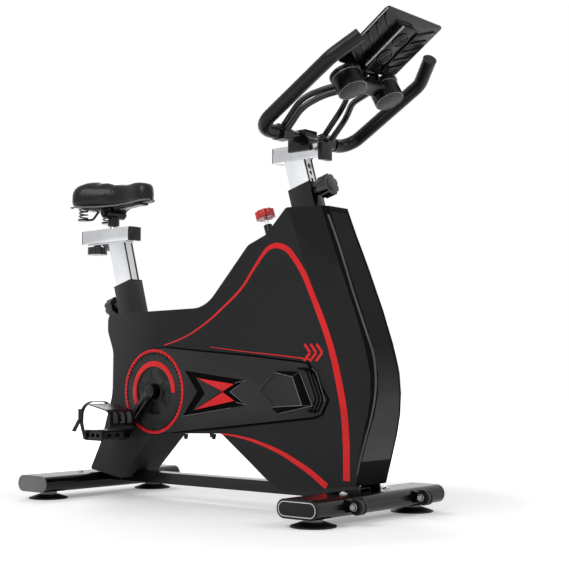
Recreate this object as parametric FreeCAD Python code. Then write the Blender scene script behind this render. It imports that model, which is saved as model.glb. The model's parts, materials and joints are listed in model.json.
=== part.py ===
import FreeCAD, Part
import math
import os

# Indoor spin bike, millimetres. +X is the way the rider faces, +Y the rider's left, +Z up.
# Lengths along X are given from the point half way between the two floor bars; the export
# moves everything so that the origin is under the middle of the whole machine, on the floor.

V = FreeCAD.Vector

# ---- driving dimensions -------------------------------------------------------------
middle_x = 24.6              # middle of the machine's length, from the point between the floor bars

floor_bar_front_x = 463.0    # centre line of the front floor bar
floor_bar_rear_x = -491.0    # centre line of the rear floor bar
floor_bar_length = 504.0
floor_bar_width = 120.0      # across the flat oval
floor_bar_height = 45.0
floor_bar_wall = 2.5
floor_bar_base_z = 21.5      # underside of the floor bars
end_cap_flange = 6.0
end_cap_plug = 18.0
plug_clearance = 0.3

foot_inset = 54.0            # foot's axis from the end of the tube
foot_radius = 54.0
foot_height = 12.0
foot_stem_radius = 7.0
foot_neck_radius = 20.0

rail_width = 40.0            # base rail between the floor bars
rail_height = 30.0
rail_base_z = 44.0

wheel_radius = 19.5          # transport wheels
wheel_width = 24.0
wheel_axle_radius = 5.0
wheel_x = floor_bar_front_x + 82.0
wheel_y = 135.0
wheel_z = 46.0
running_clearance = 0.06     # radial, shaft in hole

body_half_width = 64.0       # shroud
shell_wall = 2.8
split_gap = 0.3
panel_gap = 0.3
ridge_chamfer = 14.0
ridge_taper = 110.0

crank_x = -204.7
crank_z = 298.9
crank_length = 156.0
crank_angle = 49.0           # right arm, below the rearward horizontal
crank_arm_inner_y = body_half_width + 10.0
crank_arm_thickness = 13.0
crank_axle_radius = 10.0
crank_boss_radius = 17.0
pedal_eye_radius = 14.0
disc_radius = 116.3          # round crank disc of the belt cover
cover_thickness = 3.5
bb_shell_half = 30.0
bb_shell_outer = 24.0
bb_shell_inner = 20.0

pulley_radius = 88.0
pulley_width = 14.0
pulley_y = 40.0              # middle plane of the belt
belt_thickness = 3.0
small_pulley_radius = 26.0
flywheel_x = 360.0
flywheel_z = 290.0
flywheel_radius = 150.0
flywheel_width = 20.0
flywheel_y = -10.0
flywheel_axle_radius = 8.0

pedal_gap = 20.0             # between crank arm and pedal platform
pedal_width = 90.0           # across the machine
pedal_length = 74.0          # along the foot
pedal_height = 25.0
pedal_spindle_radius = 7.0
pedal_tilt = 0.0             # nose up
cage_reach = 32.0            # toe cap in front of the platform
cage_height = 54.0
cage_wall = 3.0
strap_width = 13.0
strap_thickness = 2.2
strap_height = 78.0          # top of the strap above the platform
strap_bulge = 14.0           # how far the strap stands out on the outer side

lean = 16.0                  # both posts lean back by this angle
seat_top_x = -389.0          # middle of the seat sleeve's mouth
seat_top_z = 606.0
head_top_x = 274.0           # middle of the head sleeve's mouth
head_top_z = 823.0
post_depth = 62.0            # along the machine
post_width = 36.0            # across
post_wall = 2.5
bushing_wall = 2.0
post_clearance = 0.3
sleeve_wall = 2.8
seat_sleeve_length = 235.0
head_sleeve_length = 330.0
post_insertion = 112.0

slider_height = 40.0
slider_width = 40.0
slider_wall = 2.5
seat_slider_base_z = 732.0
seat_slider_rear_x = -571.0
seat_slider_front_x = -371.0
end_block = 13.0
seat_plate = 5.0

head_tube_base_z = 892.0
head_tube_rear_x = 185.0
head_tube_front_x = 335.0
head_cap_front_x = 350.0
carriage_rear_x = 240.0
carriage_front_x = 310.0
carriage_wall = 4.0
sliding_clearance = 0.4

bar_radius = 14.0            # handlebar steel tube
grip_radius = 18.0
bar_x = 275.0
bar_z = head_tube_base_z + slider_height + 18.0
bar_half_width = 180.0
kink_x = 506.0
kink_y = 184.0
kink_z = 1087.0
tip_x = 560.0
tip_y = 148.0
tip_z = 1133.0
bar_bend = 48.0
kink_bend = 60.0
grip_start_y = 118.0         # where the foam starts on the crossbar

inner_tube_radius = 8.0
inner_tube_y = 87.0
drum_y = 76.0
drum_bottom_x = 489.0
drum_bottom_z = 1029.0
drum_lean = 28.0
drum_depth = 53.0
drum_radius = 37.5
drum_flange = 3.0

tray_angle = 33.7            # slope of the tablet holder
tray_top_x = 621.0
tray_top_z = 1203.0
tray_length = 182.0
tray_width = 230.0
tray_thickness = 4.0
tray_lip = 16.0

brake_lean = 18.0
brake_knob_x = 141.0
brake_knob_z = 764.0
brake_knob_radius = 26.0
brake_knob_height = 20.0
brake_rod_radius = 5.0
brake_tube_radius = 11.5
brake_travel = 6.0

knob_radius = 29.0
knob_height = 22.0

nose_x = -292.0
tail_x = -566.0
saddle_half_width = 92.0
saddle_base_z = 846.0
saddle_thickness = 46.0

floor_bar_mid_z = floor_bar_base_z + floor_bar_height / 2
floor_bar_top_z = floor_bar_base_z + floor_bar_height
rail_top_z = rail_base_z + rail_height
sleeve_depth = post_depth + 2 * (post_clearance + bushing_wall + sleeve_wall)
sleeve_width = post_width + 2 * (post_clearance + bushing_wall + sleeve_wall)
arm_outer_y = crank_arm_inner_y + crank_arm_thickness
slider_top_z = seat_slider_base_z + slider_height
head_tube_top_z = head_tube_base_z + slider_height - 1.0
side_y = body_half_width


# ---- small shape helpers ------------------------------------------------------------
def block(x0, x1, y0, y1, z0, z1):
    return Part.makeBox(x1 - x0, y1 - y0, z1 - z0, V(x0, y0, z0))


def rod(radius, start, end):
    return Part.makeCylinder(radius, (end - start).Length, start, end - start)


def ring(outer, inner, start, end):
    return rod(outer, start, end).cut(rod(inner, start, end))


def rounded_wire(points, radii):
    """A closed outline of straight runs whose corners are arcs."""
    edges = []
    firsts = []
    lasts = []
    middles = []
    count = len(points)
    for i in range(count):
        corner = points[i]
        back = (points[i - 1] - corner).normalize()
        ahead = (points[(i + 1) % count] - corner).normalize()
        half = back.getAngle(ahead) / 2
        setback = radii[i] / math.tan(half)
        inward = (back + ahead).normalize()
        firsts.append(corner + back * setback)
        lasts.append(corner + ahead * setback)
        middles.append(corner + inward * (radii[i] / math.sin(half) - radii[i]))
    for i in range(count):
        if radii[i] > 0:
            edges.append(Part.Arc(firsts[i], middles[i], lasts[i]).toShape())
        following = firsts[(i + 1) % count]
        if (following - lasts[i]).Length > 1e-6:
            edges.append(Part.LineSegment(lasts[i], following).toShape())
    return Part.Wire(edges)


def side_face(points, radii, y=0.0):
    return Part.Face(rounded_wire([V(x, y, z) for x, z in points], radii))


def side_plate(points, radii, y0, y1):
    return side_face(points, radii, y0).extrude(V(0, y1 - y0, 0))


def bent_path(points, radii):
    """An open path: straight runs joined by tangent arcs at the inner points."""
    edges = []
    start = points[0]
    for i in range(1, len(points) - 1):
        corner = points[i]
        back = (points[i - 1] - corner).normalize()
        ahead = (points[i + 1] - corner).normalize()
        half = back.getAngle(ahead) / 2
        setback = radii[i - 1] / math.tan(half)
        first = corner + back * setback
        last = corner + ahead * setback
        middle = corner + (back + ahead).normalize() * (radii[i - 1] / math.sin(half) - radii[i - 1])
        edges.append(Part.LineSegment(start, first).toShape())
        edges.append(Part.Arc(first, middle, last).toShape())
        start = last
    edges.append(Part.LineSegment(start, points[-1]).toShape())
    return Part.Wire(edges)


def bent_rod(points, radii, radius):
    path = bent_path(points, radii)
    heading = points[1] - points[0]
    circle = Part.Wire(Part.makeCircle(radius, points[0], heading))
    return path.makePipeShell([circle], True, False)


def leaned(shape, x, z, angle=lean):
    """A shape made upright about the origin, leaned back and set with its origin at (x, z)."""
    turned = shape.copy()
    turned.rotate(V(0, 0, 0), V(0, 1, 0), -angle)
    turned.translate(V(x, 0, z))
    return turned


def mirrored(shape):
    return shape.mirror(V(0, 0, 0), V(0, 1, 0))


def joined(shapes):
    whole = shapes[0].fuse(shapes[1:])
    return whole.removeSplitter()


def box_tube(depth, width, wall, z0, z1):
    outer = block(-depth / 2, depth / 2, -width / 2, width / 2, z0, z1)
    hollow = block(-depth / 2 + wall, depth / 2 - wall, -width / 2 + wall, width / 2 - wall, z0 - 1, z1 + 1)
    return outer.cut(hollow)


parts = {}


def add(name, *solids):
    parts[name] = solids[0] if len(solids) == 1 else Part.makeCompound(list(solids))


# ---- floor bars, caps, feet, transport wheels ---------------------------------------
def oval_bar(x, length, shrink):
    """A flat-oval bar across the machine, centred on y = 0."""
    half_w = floor_bar_width / 2 - shrink
    half_h = floor_bar_height / 2 - shrink
    z = floor_bar_mid_z
    corners = [(x - half_w, z - half_h), (x + half_w, z - half_h), (x + half_w, z + half_h), (x - half_w,
                                                                                              z + half_h)]
    return side_plate(corners, [half_h - 0.5] * 4, -length / 2, length / 2)


def floor_bar(x):
    shell = oval_bar(x, floor_bar_length, 0).cut(oval_bar(x, floor_bar_length + 2, floor_bar_wall))
    for y in (-1, 1):
        axis_y = y * (floor_bar_length / 2 - foot_inset)
        hole = rod(foot_stem_radius + running_clearance, V(x, axis_y, floor_bar_base_z - 1),
                   V(x, axis_y, floor_bar_base_z + floor_bar_wall + 1))
        shell = shell.cut(hole)
    return shell


def end_caps(x):
    flange = oval_bar(x, floor_bar_length + 2 * end_cap_flange, 0).cut(oval_bar(x, floor_bar_length, -1))
    plugs = oval_bar(x, floor_bar_length, floor_bar_wall + plug_clearance)
    plugs = plugs.cut(oval_bar(x, floor_bar_length - 2 * end_cap_plug, floor_bar_wall - 1))
    whole = flange.fuse(plugs).removeSplitter()
    return whole.Solids


add("front_floor_bar", floor_bar(floor_bar_front_x))
add("rear_floor_bar", floor_bar(floor_bar_rear_x))
add("front_end_caps", *end_caps(floor_bar_front_x))
add("rear_end_caps", *end_caps(floor_bar_rear_x))


def foot(x, y):
    """A levelling foot: a low cone of hard rubber with its threaded stem."""
    rim = rod(foot_radius, V(x, y, 0), V(x, y, 3.5))
    cone = Part.makeCone(foot_radius, foot_neck_radius + 8, foot_height - 3.5, V(x, y, 3.5))
    neck = rod(foot_neck_radius, V(x, y, foot_height), V(x, y, floor_bar_base_z - sliding_clearance))
    stem = rod(foot_stem_radius, V(x, y, foot_height), V(x, y, floor_bar_base_z + 26))
    return joined([rim, cone, neck, stem])


foot_y = floor_bar_length / 2 - foot_inset
for end, bar_centre in (("front", floor_bar_front_x), ("rear", floor_bar_rear_x)):
    add("foot_" + end + "_right", foot(bar_centre, -foot_y))
    add("foot_" + end + "_left", foot(bar_centre, foot_y))

oval_bars = [oval_bar(floor_bar_front_x, floor_bar_length, 0), oval_bar(floor_bar_rear_x, floor_bar_length,
                                                                        0)]
rail = block(floor_bar_rear_x, floor_bar_front_x, -rail_width / 2, rail_width / 2, rail_base_z, rail_top_z)
rail_hollow = block(floor_bar_rear_x, floor_bar_front_x, -rail_width / 2 + 2, rail_width / 2 - 2,
                    rail_base_z + 2, rail_top_z - 2)
add("base_rail", rail.cut(rail_hollow).cut(oval_bars))


def transport_wheel(y):
    start = V(wheel_x, y - wheel_width / 2, wheel_z)
    end = V(wheel_x, y + wheel_width / 2, wheel_z)
    body = rod(wheel_radius, start, end)
    body = body.makeFillet(3.0, [e for e in body.Edges if len(e.Vertexes) == 1])
    bore = rod(wheel_axle_radius + running_clearance, start - V(0, 1, 0), end + V(0, 1, 0))
    groove = ring(wheel_radius + 1, wheel_radius - 2, V(wheel_x, y - 2.5, wheel_z), V(wheel_x, y + 2.5,
                                                                                      wheel_z))
    return body.cut(bore).cut(groove)


def wheel_bracket(y):
    """Two ears and a back plate on the floor bar's front, with the axle bolt across them."""
    gap = wheel_width / 2 + 1.5
    ear = 4.0
    pieces = []
    front_edge = floor_bar_front_x + floor_bar_width / 2
    for side in (-1, 1):
        inner = y + side * gap
        outer = y + side * (gap + ear)
        low, high = min(inner, outer), max(inner, outer)
        outline = [(front_edge - 18, wheel_z - 16), (wheel_x + 4, wheel_z - 10),
                   (wheel_x + 10, wheel_z), (wheel_x + 4, wheel_z + 12), (front_edge - 18, wheel_z + 17)]
        pieces.append(side_plate(outline, [2, 8, 8, 8, 2], low, high))
    bolt = rod(wheel_axle_radius, V(wheel_x, y - gap - ear, wheel_z), V(wheel_x, y + gap + ear, wheel_z))
    head = rod(8.0, V(wheel_x, y - gap - ear - 4.5, wheel_z), V(wheel_x, y - gap - ear, wheel_z))
    nut = rod(8.0, V(wheel_x, y + gap + ear, wheel_z), V(wheel_x, y + gap + ear + 4.5, wheel_z))
    return joined(pieces + [bolt, head, nut]).cut(oval_bars[0])


add("wheel_brackets", wheel_bracket(-wheel_y), wheel_bracket(wheel_y))
add("transport_wheel_right", transport_wheel(-wheel_y))
add("transport_wheel_left", transport_wheel(wheel_y))

# ---- welded frame inside the covers -------------------------------------------------
seat_sleeve = leaned(box_tube(sleeve_depth, sleeve_width, sleeve_wall, -seat_sleeve_length, 0), seat_top_x,
                     seat_top_z)
head_sleeve = leaned(box_tube(sleeve_depth, sleeve_width, sleeve_wall, -head_sleeve_length, 0), head_top_x,
                     head_top_z)


def knob_spot(top_x, top_z, down, side):
    """The point on a sleeve's outer face where its knob sits, and the way the knob points."""
    along = V(-math.sin(math.radians(lean)), 0, math.cos(math.radians(lean)))
    outward = V(side * math.cos(math.radians(lean)), 0, side * math.sin(math.radians(lean)))
    spot = V(top_x, 0, top_z) - along * down + outward * (sleeve_depth / 2)
    return spot, outward


seat_knob_spot, seat_knob_way = knob_spot(seat_top_x, seat_top_z, 48.0, -1)
head_knob_spot, head_knob_way = knob_spot(head_top_x, head_top_z, 24.0, 1)
pin_radius = 5.0
pin_bushing_radius = 9.0


def with_pin_hole(shape, spot, way, radius):
    return shape.cut(rod(radius, spot - way * 14, spot + way * 20))


def pin_boss(spot, way):
    """The threaded boss welded on a sleeve for its pin."""
    return ring(pin_bushing_radius + 3, pin_bushing_radius, spot, spot + way * 8)


seat_sleeve = with_pin_hole(seat_sleeve, seat_knob_spot, seat_knob_way, pin_bushing_radius)
head_sleeve = with_pin_hole(head_sleeve, head_knob_spot, head_knob_way, pin_bushing_radius)
add("seat_sleeve", joined([seat_sleeve, pin_boss(seat_knob_spot, seat_knob_way)]))
add("head_sleeve", joined([head_sleeve, pin_boss(head_knob_spot, head_knob_way)]))


def bushing(top_x, top_z, spot, way):
    """A plastic lining in a sleeve's mouth with a thin collar on top."""
    depth = post_depth + 2 * post_clearance
    width = post_width + 2 * post_clearance
    lining = block(-depth / 2 - bushing_wall, depth / 2 + bushing_wall, -width / 2 - bushing_wall,
                   width / 2 + bushing_wall, -90, 0)
    collar = block(-sleeve_depth / 2, sleeve_depth / 2, -sleeve_width / 2, sleeve_width / 2, 0, 2.5)
    bore = block(-depth / 2, depth / 2, -width / 2, width / 2, -91, 4)
    whole = leaned(lining.fuse(collar).cut(bore), top_x, top_z)
    return with_pin_hole(whole.removeSplitter(), spot, way, pin_bushing_radius)


add("post_bushings", bushing(seat_top_x, seat_top_z, seat_knob_spot, seat_knob_way),
    bushing(head_top_x, head_top_z, head_knob_spot, head_knob_way))

seat_sleeve_solid = leaned(block(-sleeve_depth / 2, sleeve_depth / 2, -sleeve_width / 2, sleeve_width / 2,
                                 -seat_sleeve_length, 0), seat_top_x, seat_top_z)
head_sleeve_solid = leaned(block(-sleeve_depth / 2, sleeve_depth / 2, -sleeve_width / 2, sleeve_width / 2,
                                 -head_sleeve_length, 0), head_top_x, head_top_z)

brake_way = V(-math.sin(math.radians(brake_lean)), 0, math.cos(math.radians(brake_lean)))
brake_knob_seat = V(brake_knob_x, 0, brake_knob_z) - brake_way * (brake_knob_height / 2)


def on_brake_axis(down):
    return brake_knob_seat - brake_way * down


spine_height = 36.0
spine = side_plate([(-400, 430), (-400, 430 + spine_height), (420, 478 + spine_height), (420, 478)],
                   [0.0] * 4, -15, 15)
spine_solid = spine.copy()
spine_hollow = side_plate([(-400, 432.5), (-400, 427.5 + spine_height), (420, 475.5 + spine_height), (420,
                                                                                                      480.5)],
                          [0.0] * 4, -12.5, 12.5)
seat_axis_low = leaned(block(-300, 0, -30, 30, -900, 200), seat_top_x, seat_top_z)
head_axis_far = leaned(block(0, 300, -30, 30, -900, 200), head_top_x, head_top_z)
rod_passage = rod(brake_rod_radius + sliding_clearance, on_brake_axis(150), on_brake_axis(380))
spine = spine.cut(spine_hollow).cut([seat_axis_low, head_axis_far, seat_sleeve_solid, head_sleeve_solid,
                                     rod_passage])
add("spine_tube", max(spine.Solids, key=lambda s: s.Volume))

bb_shell = ring(bb_shell_outer, bb_shell_inner, V(crank_x, -bb_shell_half, crank_z), V(crank_x,
                                                                                       bb_shell_half, crank_z))
bb_solid = rod(bb_shell_outer, V(crank_x, -bb_shell_half, crank_z), V(crank_x, bb_shell_half, crank_z))

plate_outline = [(-352, 470), (-300, 470), (-178, 325), (-178, 270), (-232, 262), (-330, 372)]
bracket_y = sleeve_width / 2
bracket_plates = []
for y0, y1 in ((-bracket_y - 5, -bracket_y), (bracket_y, bracket_y + 5)):
    plate = side_plate(plate_outline, [8, 8, 14, 14, 14, 14], y0, y1)
    bracket_plates.append(plate.cut(bb_solid))
add("bottom_bracket", joined([bb_shell] + bracket_plates))

rear_leg_outline = [(-340, 372), (-300, 380), (-252, 262), (-385, rail_base_z), (-450, rail_base_z)]
rear_leg = side_plate(rear_leg_outline, [4] * 5, -bracket_y, bracket_y)
rear_leg_hollow = side_plate([(-334, 366), (-306, 372), (-260, 262), (-390, 40), (-443, 40)], [4] * 5,
                             -bracket_y + 3, bracket_y - 3)
rear_leg = rear_leg.cut(rear_leg_hollow).cut([rail, oval_bars[1], seat_sleeve_solid])
add("rear_leg", max(rear_leg.Solids, key=lambda s: s.Volume))

right_fork_y = -30.0
left_fork_y = 54.0
fork_thickness = 6.0
crown_x = head_top_x + head_sleeve_length * math.sin(math.radians(lean))
crown_z = head_top_z - head_sleeve_length * math.cos(math.radians(lean))
crown_height = 16.0
crown = block(crown_x - 36, crown_x + 36, right_fork_y - fork_thickness / 2, left_fork_y + fork_thickness / 2,
              crown_z - crown_height - 11, crown_z - 11)
crown = crown.cut([head_sleeve_solid, spine_solid])
fork_outline = [(crown_x - 36, crown_z - 11 - crown_height), (crown_x + 36, crown_z - 11 - crown_height),
                (425, 290), (470, floor_bar_top_z), (415, floor_bar_top_z), (325, 255), (325, 320)]


def fork_plate(y):
    plate = side_plate(fork_outline, [2, 2, 40, 2, 2, 20, 20], y - fork_thickness / 2, y + fork_thickness / 2)
    return plate


axle_span = (right_fork_y - fork_thickness / 2 - 4, left_fork_y + fork_thickness / 2 + 2)
flywheel_axle = rod(flywheel_axle_radius, V(flywheel_x, axle_span[0], flywheel_z), V(flywheel_x,
                                                                                     axle_span[1], flywheel_z))
add("fork", joined([crown, fork_plate(right_fork_y), fork_plate(left_fork_y), flywheel_axle]))

# ---- shroud -------------------------------------------------------------------------
profile = [(-402, 517), (-14, 523), (138, 679), (200, 702), (267, 766), (600, 756), (600, 96), (252, 56),
           (204, 82), (46, 192), (-208, 184), (-343, 56), (-471, 75), (-426, 155), (-379, 290), (-378, 410),
           (-402, 468)]
profile_radii = [20, 110, 24, 16, 14, 0, 0, 5, 60, 22, 22, 5, 5, 150, 150, 60, 25]
ridge_stations = [(800, 370, 37), (700, 408, 40), (600, 449, 44), (500, 489, 45), (420, 517, 44), (350, 535,
                                                                                                   45),
                  (300, 537, 48), (250, 530, 54), (200, 516, 60), (140, 498, 62), (40, 468, 62)]


def envelope(inset):
    """The plan shape at each height: full width at the back, drawn in to the two front ridges."""
    wires = []
    for z, ridge_x, ridge_y in ridge_stations:
        full = side_y - inset
        x = ridge_x - inset
        y = ridge_y - inset
        shoulder = y + (full - y) * 0.55
        half = [V(-520 - inset, full, z), V(x - ridge_taper, full, z), V(x - ridge_chamfer, shoulder, z),
                V(x, y, z)]
        other = [V(p.x, -p.y, z) for p in reversed(half)]
        loop = half + other
        wires.append(Part.makePolygon(loop + [loop[0]]))
    return Part.makeLoft(wires, True, True)


def shroud_solid(inset):
    face = side_face(profile, profile_radii)
    if inset > 0:
        face = Part.Face(face.makeOffset2D(-inset).OuterWire)
    slab = face.extrude(V(0, 200, 0))
    slab.translate(V(0, -100, 0))
    solid = slab.common(envelope(inset))
    for trim in (0.07, 0.13, 0.21):
        if solid.Volume < slab.Volume * 0.1:
            solid = slab.common(envelope(inset - trim))
    return solid


shroud_outer = shroud_solid(0)
shroud_inner = shroud_solid(shell_wall)
shell = shroud_outer.cut(shroud_inner)


def front_window(margin, front, back):
    wires = []
    for z, ridge_x, ridge_y in ridge_stations[:-1]:
        y = ridge_y - margin
        loop = [V(ridge_x - back, -y, z), V(ridge_x + front, -y, z), V(ridge_x + front, y, z),
                V(ridge_x - back, y, z)]
        wires.append(Part.makePolygon(loop + [loop[0]]))
    return Part.makeLoft(wires, True, True)


cover_top_z = 752.0
cover_bottom_z = 104.0
window_range = block(200, 700, -100, 100, cover_bottom_z - panel_gap, cover_top_z + panel_gap)
shell = shell.cut(front_window(2.0, 40, 30).common(window_range))
front_cover = front_window(2.0 + panel_gap, -2.0, 5.0).common(block(200, 700, -100, 100, cover_bottom_z,
                                                                    cover_top_z))
add("front_cover", front_cover)

shell_cuts = [
    leaned(block(-sleeve_depth / 2 - 0.5, sleeve_depth / 2 + 0.5, -sleeve_width / 2 - 0.5,
                 sleeve_width / 2 + 0.5,
                 -seat_sleeve_length, 20), seat_top_x, seat_top_z),
    leaned(block(-sleeve_depth / 2 - 0.5, sleeve_depth / 2 + 0.5, -sleeve_width / 2 - 0.5,
                 sleeve_width / 2 + 0.5,
                 -head_sleeve_length, 20), head_top_x, head_top_z),
    block(floor_bar_rear_x, floor_bar_front_x, -rail_width / 2 - 1.5, rail_width / 2 + 1.5, 30,
          rail_top_z + 1.5),
    block(310, 470, -side_y + shell_wall, side_y - shell_wall, 40, 102),
    block(-455, -372, -side_y + shell_wall, side_y - shell_wall, 40, 90),
    rod(26.0, V(crank_x, -100, crank_z), V(crank_x, 100, crank_z)),
    rod(brake_tube_radius + 0.4, on_brake_axis(0), on_brake_axis(120)),
]
boss_spots = [(seat_knob_spot, seat_knob_way), (head_knob_spot, head_knob_way)]
for spot, way in boss_spots:
    shell_cuts.append(rod(pin_bushing_radius + 4, spot, spot + way * 30))
shell = shell.cut(shell_cuts)
right_half = shell.common(block(-700, 700, -200, -split_gap / 2, -10, 900))
left_half = shell.common(block(-700, 700, split_gap / 2, 200, -10, 900))
add("shroud_right", max(right_half.Solids, key=lambda s: s.Volume))
add("shroud_left", max(left_half.Solids, key=lambda s: s.Volume))

# ---- belt covers with the crank disc ------------------------------------------------
cover_outline = [(crank_x, crank_z + disc_radius), (337, 373), (400, 285), (381, 250), (356, 243),
                 (crank_x, crank_z - disc_radius)]


def belt_cover():
    """Right-hand cover: a raised plate from the crank disc to a stepped end, with a hexagonal bump."""
    out = side_y + cover_thickness
    plate = side_plate(cover_outline, [0, 12, 14, 10, 10, 0], side_y, out)
    disc = rod(disc_radius, V(crank_x, side_y, crank_z), V(crank_x, out, crank_z))
    rim = ring(disc_radius, disc_radius - 9, V(crank_x, side_y, crank_z), V(crank_x, out + 2, crank_z))
    dish = rod(disc_radius - 49, V(crank_x, side_y + 1, crank_z), V(crank_x, out + 5, crank_z))
    bump = side_plate([(175, 307), (235, 360), (321, 356), (363, 269), (249, 246), (224, 260)], [6] * 6,
                      side_y, out + 4)
    opening = rod(22.0, V(crank_x, side_y - 1, crank_z), V(crank_x, out + 10, crank_z))
    return joined([plate, disc]).cut(dish).fuse([rim, bump]).removeSplitter().cut(opening)


left_cover = belt_cover()
add("belt_cover_left", left_cover)
add("belt_cover_right", mirrored(left_cover))

# ---- crank, pulleys, belt, flywheel -------------------------------------------------
bearing_width = 12.0


def crank_bearing(y0):
    start = V(crank_x, y0, crank_z)
    end = V(crank_x, y0 + bearing_width, crank_z)
    return ring(bb_shell_inner, crank_axle_radius + running_clearance, start, end)


add("crank_bearings", crank_bearing(-bb_shell_half + 1), crank_bearing(bb_shell_half - 1 - bearing_width))
axle = rod(crank_axle_radius, V(crank_x, -arm_outer_y + 1, crank_z), V(crank_x, arm_outer_y - 1, crank_z))
add("crank_axle", axle)

pulley_start = V(crank_x, pulley_y - pulley_width / 2, crank_z)
pulley_end = V(crank_x, pulley_y + pulley_width / 2, crank_z)
pulley = ring(pulley_radius, crank_axle_radius, pulley_start, pulley_end)
for i in range(5):
    a = math.radians(72 * i + 18)
    spot = V(crank_x + 52 * math.cos(a), 0, crank_z + 52 * math.sin(a))
    pulley = pulley.cut(rod(20.0, spot, spot + V(0, 100, 0)))
add("drive_pulley", pulley)


def crank_arm(side):
    """side -1 is the right arm, which points back and down; +1 the left, which points forward and up."""
    y0 = crank_arm_inner_y
    length = crank_length * (1 if side < 0 else -1)
    end_x = crank_x - length * math.cos(math.radians(crank_angle))
    end_z = crank_z - length * math.sin(math.radians(crank_angle))
    boss = rod(crank_boss_radius, V(crank_x, y0 - 4, crank_z), V(crank_x, arm_outer_y, crank_z))
    eye = rod(pedal_eye_radius, V(end_x, y0, end_z), V(end_x, arm_outer_y, end_z))
    way = V(end_x - crank_x, 0, end_z - crank_z).normalize()
    across = V(-way.z, 0, way.x)
    hub = V(crank_x, y0, crank_z)
    tip = V(end_x, y0, end_z)
    corners = [hub + across * 15, tip + across * 11, tip - across * 11, hub - across * 15]
    bar = Part.Face(Part.makePolygon(corners + [corners[0]])).extrude(V(0, crank_arm_thickness - 1, 0))
    arm = joined([boss, eye, bar])
    arm = arm.cut(rod(crank_axle_radius, V(crank_x, 0, crank_z), V(crank_x, arm_outer_y - 1, crank_z)))
    arm = arm.cut(rod(pedal_spindle_radius + running_clearance, V(end_x, 0, end_z), V(end_x, 200, end_z)))
    if side < 0:
        arm = mirrored(arm)
    return arm, end_x, end_z


right_arm, right_pedal_x, right_pedal_z = crank_arm(-1)
left_arm, left_pedal_x, left_pedal_z = crank_arm(1)
add("crank_arm_right", right_arm)
add("crank_arm_left", left_arm)

pedal_inner_y = arm_outer_y + pedal_gap
pedal_outer_y = pedal_inner_y + pedal_width
pedal_half = pedal_length / 2
pedal_top = pedal_height / 2


def placed_on_spindle(shape, x, z, side):
    """A pedal piece made about its spindle on the left; mirrored for the right."""
    turned = shape.copy()
    turned.rotate(V(0, 0, 0), V(0, 1, 0), -pedal_tilt)
    turned.translate(V(x, 0, z))
    if side < 0:
        turned = mirrored(turned)
    return turned


def pedal(x, z, side):
    """Platform frame with two windows, its bearing barrel and the threaded spindle."""
    corners = [(-pedal_half, -pedal_top), (pedal_half, -pedal_top), (pedal_half, pedal_top), (-pedal_half,
                                                                                              pedal_top)]
    body = side_plate(corners, [4] * 4, pedal_inner_y, pedal_outer_y)
    windows = [block(-pedal_half + 9, -15, pedal_inner_y + 10, pedal_outer_y - 10, -50, 50),
               block(15, pedal_half - 9, pedal_inner_y + 10, pedal_outer_y - 10, -50, 50)]
    barrel = rod(11.0, V(0, arm_outer_y + 5, 0), V(0, pedal_inner_y + 1, 0))
    spindle = rod(pedal_spindle_radius, V(0, crank_arm_inner_y + 1, 0), V(0, pedal_inner_y, 0))
    return placed_on_spindle(joined([body.cut(windows), barrel, spindle]), x, z, side)


def toe_cage(x, z, side):
    """A toe cap curving up from the platform's front edge and back over the foot, walled on the inner side."""
    front = pedal_half + cage_reach
    outline = [(pedal_half - 16, pedal_top), (front, pedal_top), (front, pedal_top + cage_height),
               (-pedal_half + 16, pedal_top + cage_height + 18)]
    inner = [(pedal_half - 17, pedal_top + cage_wall), (front - cage_wall, pedal_top + cage_wall),
             (front - cage_wall, pedal_top + cage_height - cage_wall),
             (-pedal_half + 15, pedal_top + cage_height + 18 - cage_wall)]
    back_cut = [(-pedal_half - 30, pedal_top + cage_wall), (pedal_half - 14, pedal_top + cage_wall),
                (-pedal_half + 20, pedal_top + cage_height + 15 - cage_wall), (-pedal_half - 30, 150)]
    cap = side_plate(outline, [1, 14, 26, 1], pedal_inner_y, pedal_outer_y)
    hollow = side_plate(inner, [1, 11, 23, 1], pedal_inner_y + cage_wall, pedal_outer_y + 1)
    opened = side_plate(back_cut, [0] * 4, pedal_inner_y - 1, pedal_outer_y + 1)
    cap = cap.cut([hollow, opened])
    return placed_on_spindle(max(cap.Solids, key=lambda s: s.Volume), x, z, side)


def toe_strap(x, z, side):
    """A webbing loop from the platform's inner flank over the foot to the outer flank, with buckle and tail."""
    y0 = pedal_inner_y - strap_thickness
    y1 = pedal_outer_y + strap_thickness
    top = pedal_top + strap_height

    def loop(inset, floor):
        ring_points = [V(0, y0 + inset, floor), V(0, y0 + inset, top - inset), V(0, y1 + strap_bulge - inset,
                                                                                 top - inset),
                       V(0, y1 + strap_bulge - inset, pedal_top + 20), V(0, y1 - inset, floor)]
        return Part.Face(rounded_wire(ring_points, [0.5, 34 - inset, 40 - inset, 20 - inset,
                                                    0.5])).extrude(V(strap_width, 0, 0))

    band = loop(0, -pedal_top).cut(loop(strap_thickness, -pedal_top - 5))
    buckle = block(-2, strap_width + 2, y1 + strap_bulge - 1, y1 + strap_bulge + 4, pedal_top + 34,
                   pedal_top + 58)
    tail_points = [V(0, y1 + strap_bulge + 3, pedal_top + 36), V(0, y1 + strap_bulge + 3, pedal_top + 32),
                   V(0, y1 + strap_bulge + 24, pedal_top - 2), V(0, y1 + strap_bulge + 27, pedal_top)]
    tail = Part.Face(Part.makePolygon(tail_points + [tail_points[0]])).extrude(V(strap_width, 0, 0))
    whole = joined([band, buckle, tail])
    whole.translate(V(-pedal_half + 1, 0, 0))
    return placed_on_spindle(whole, x, z, side)


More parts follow.
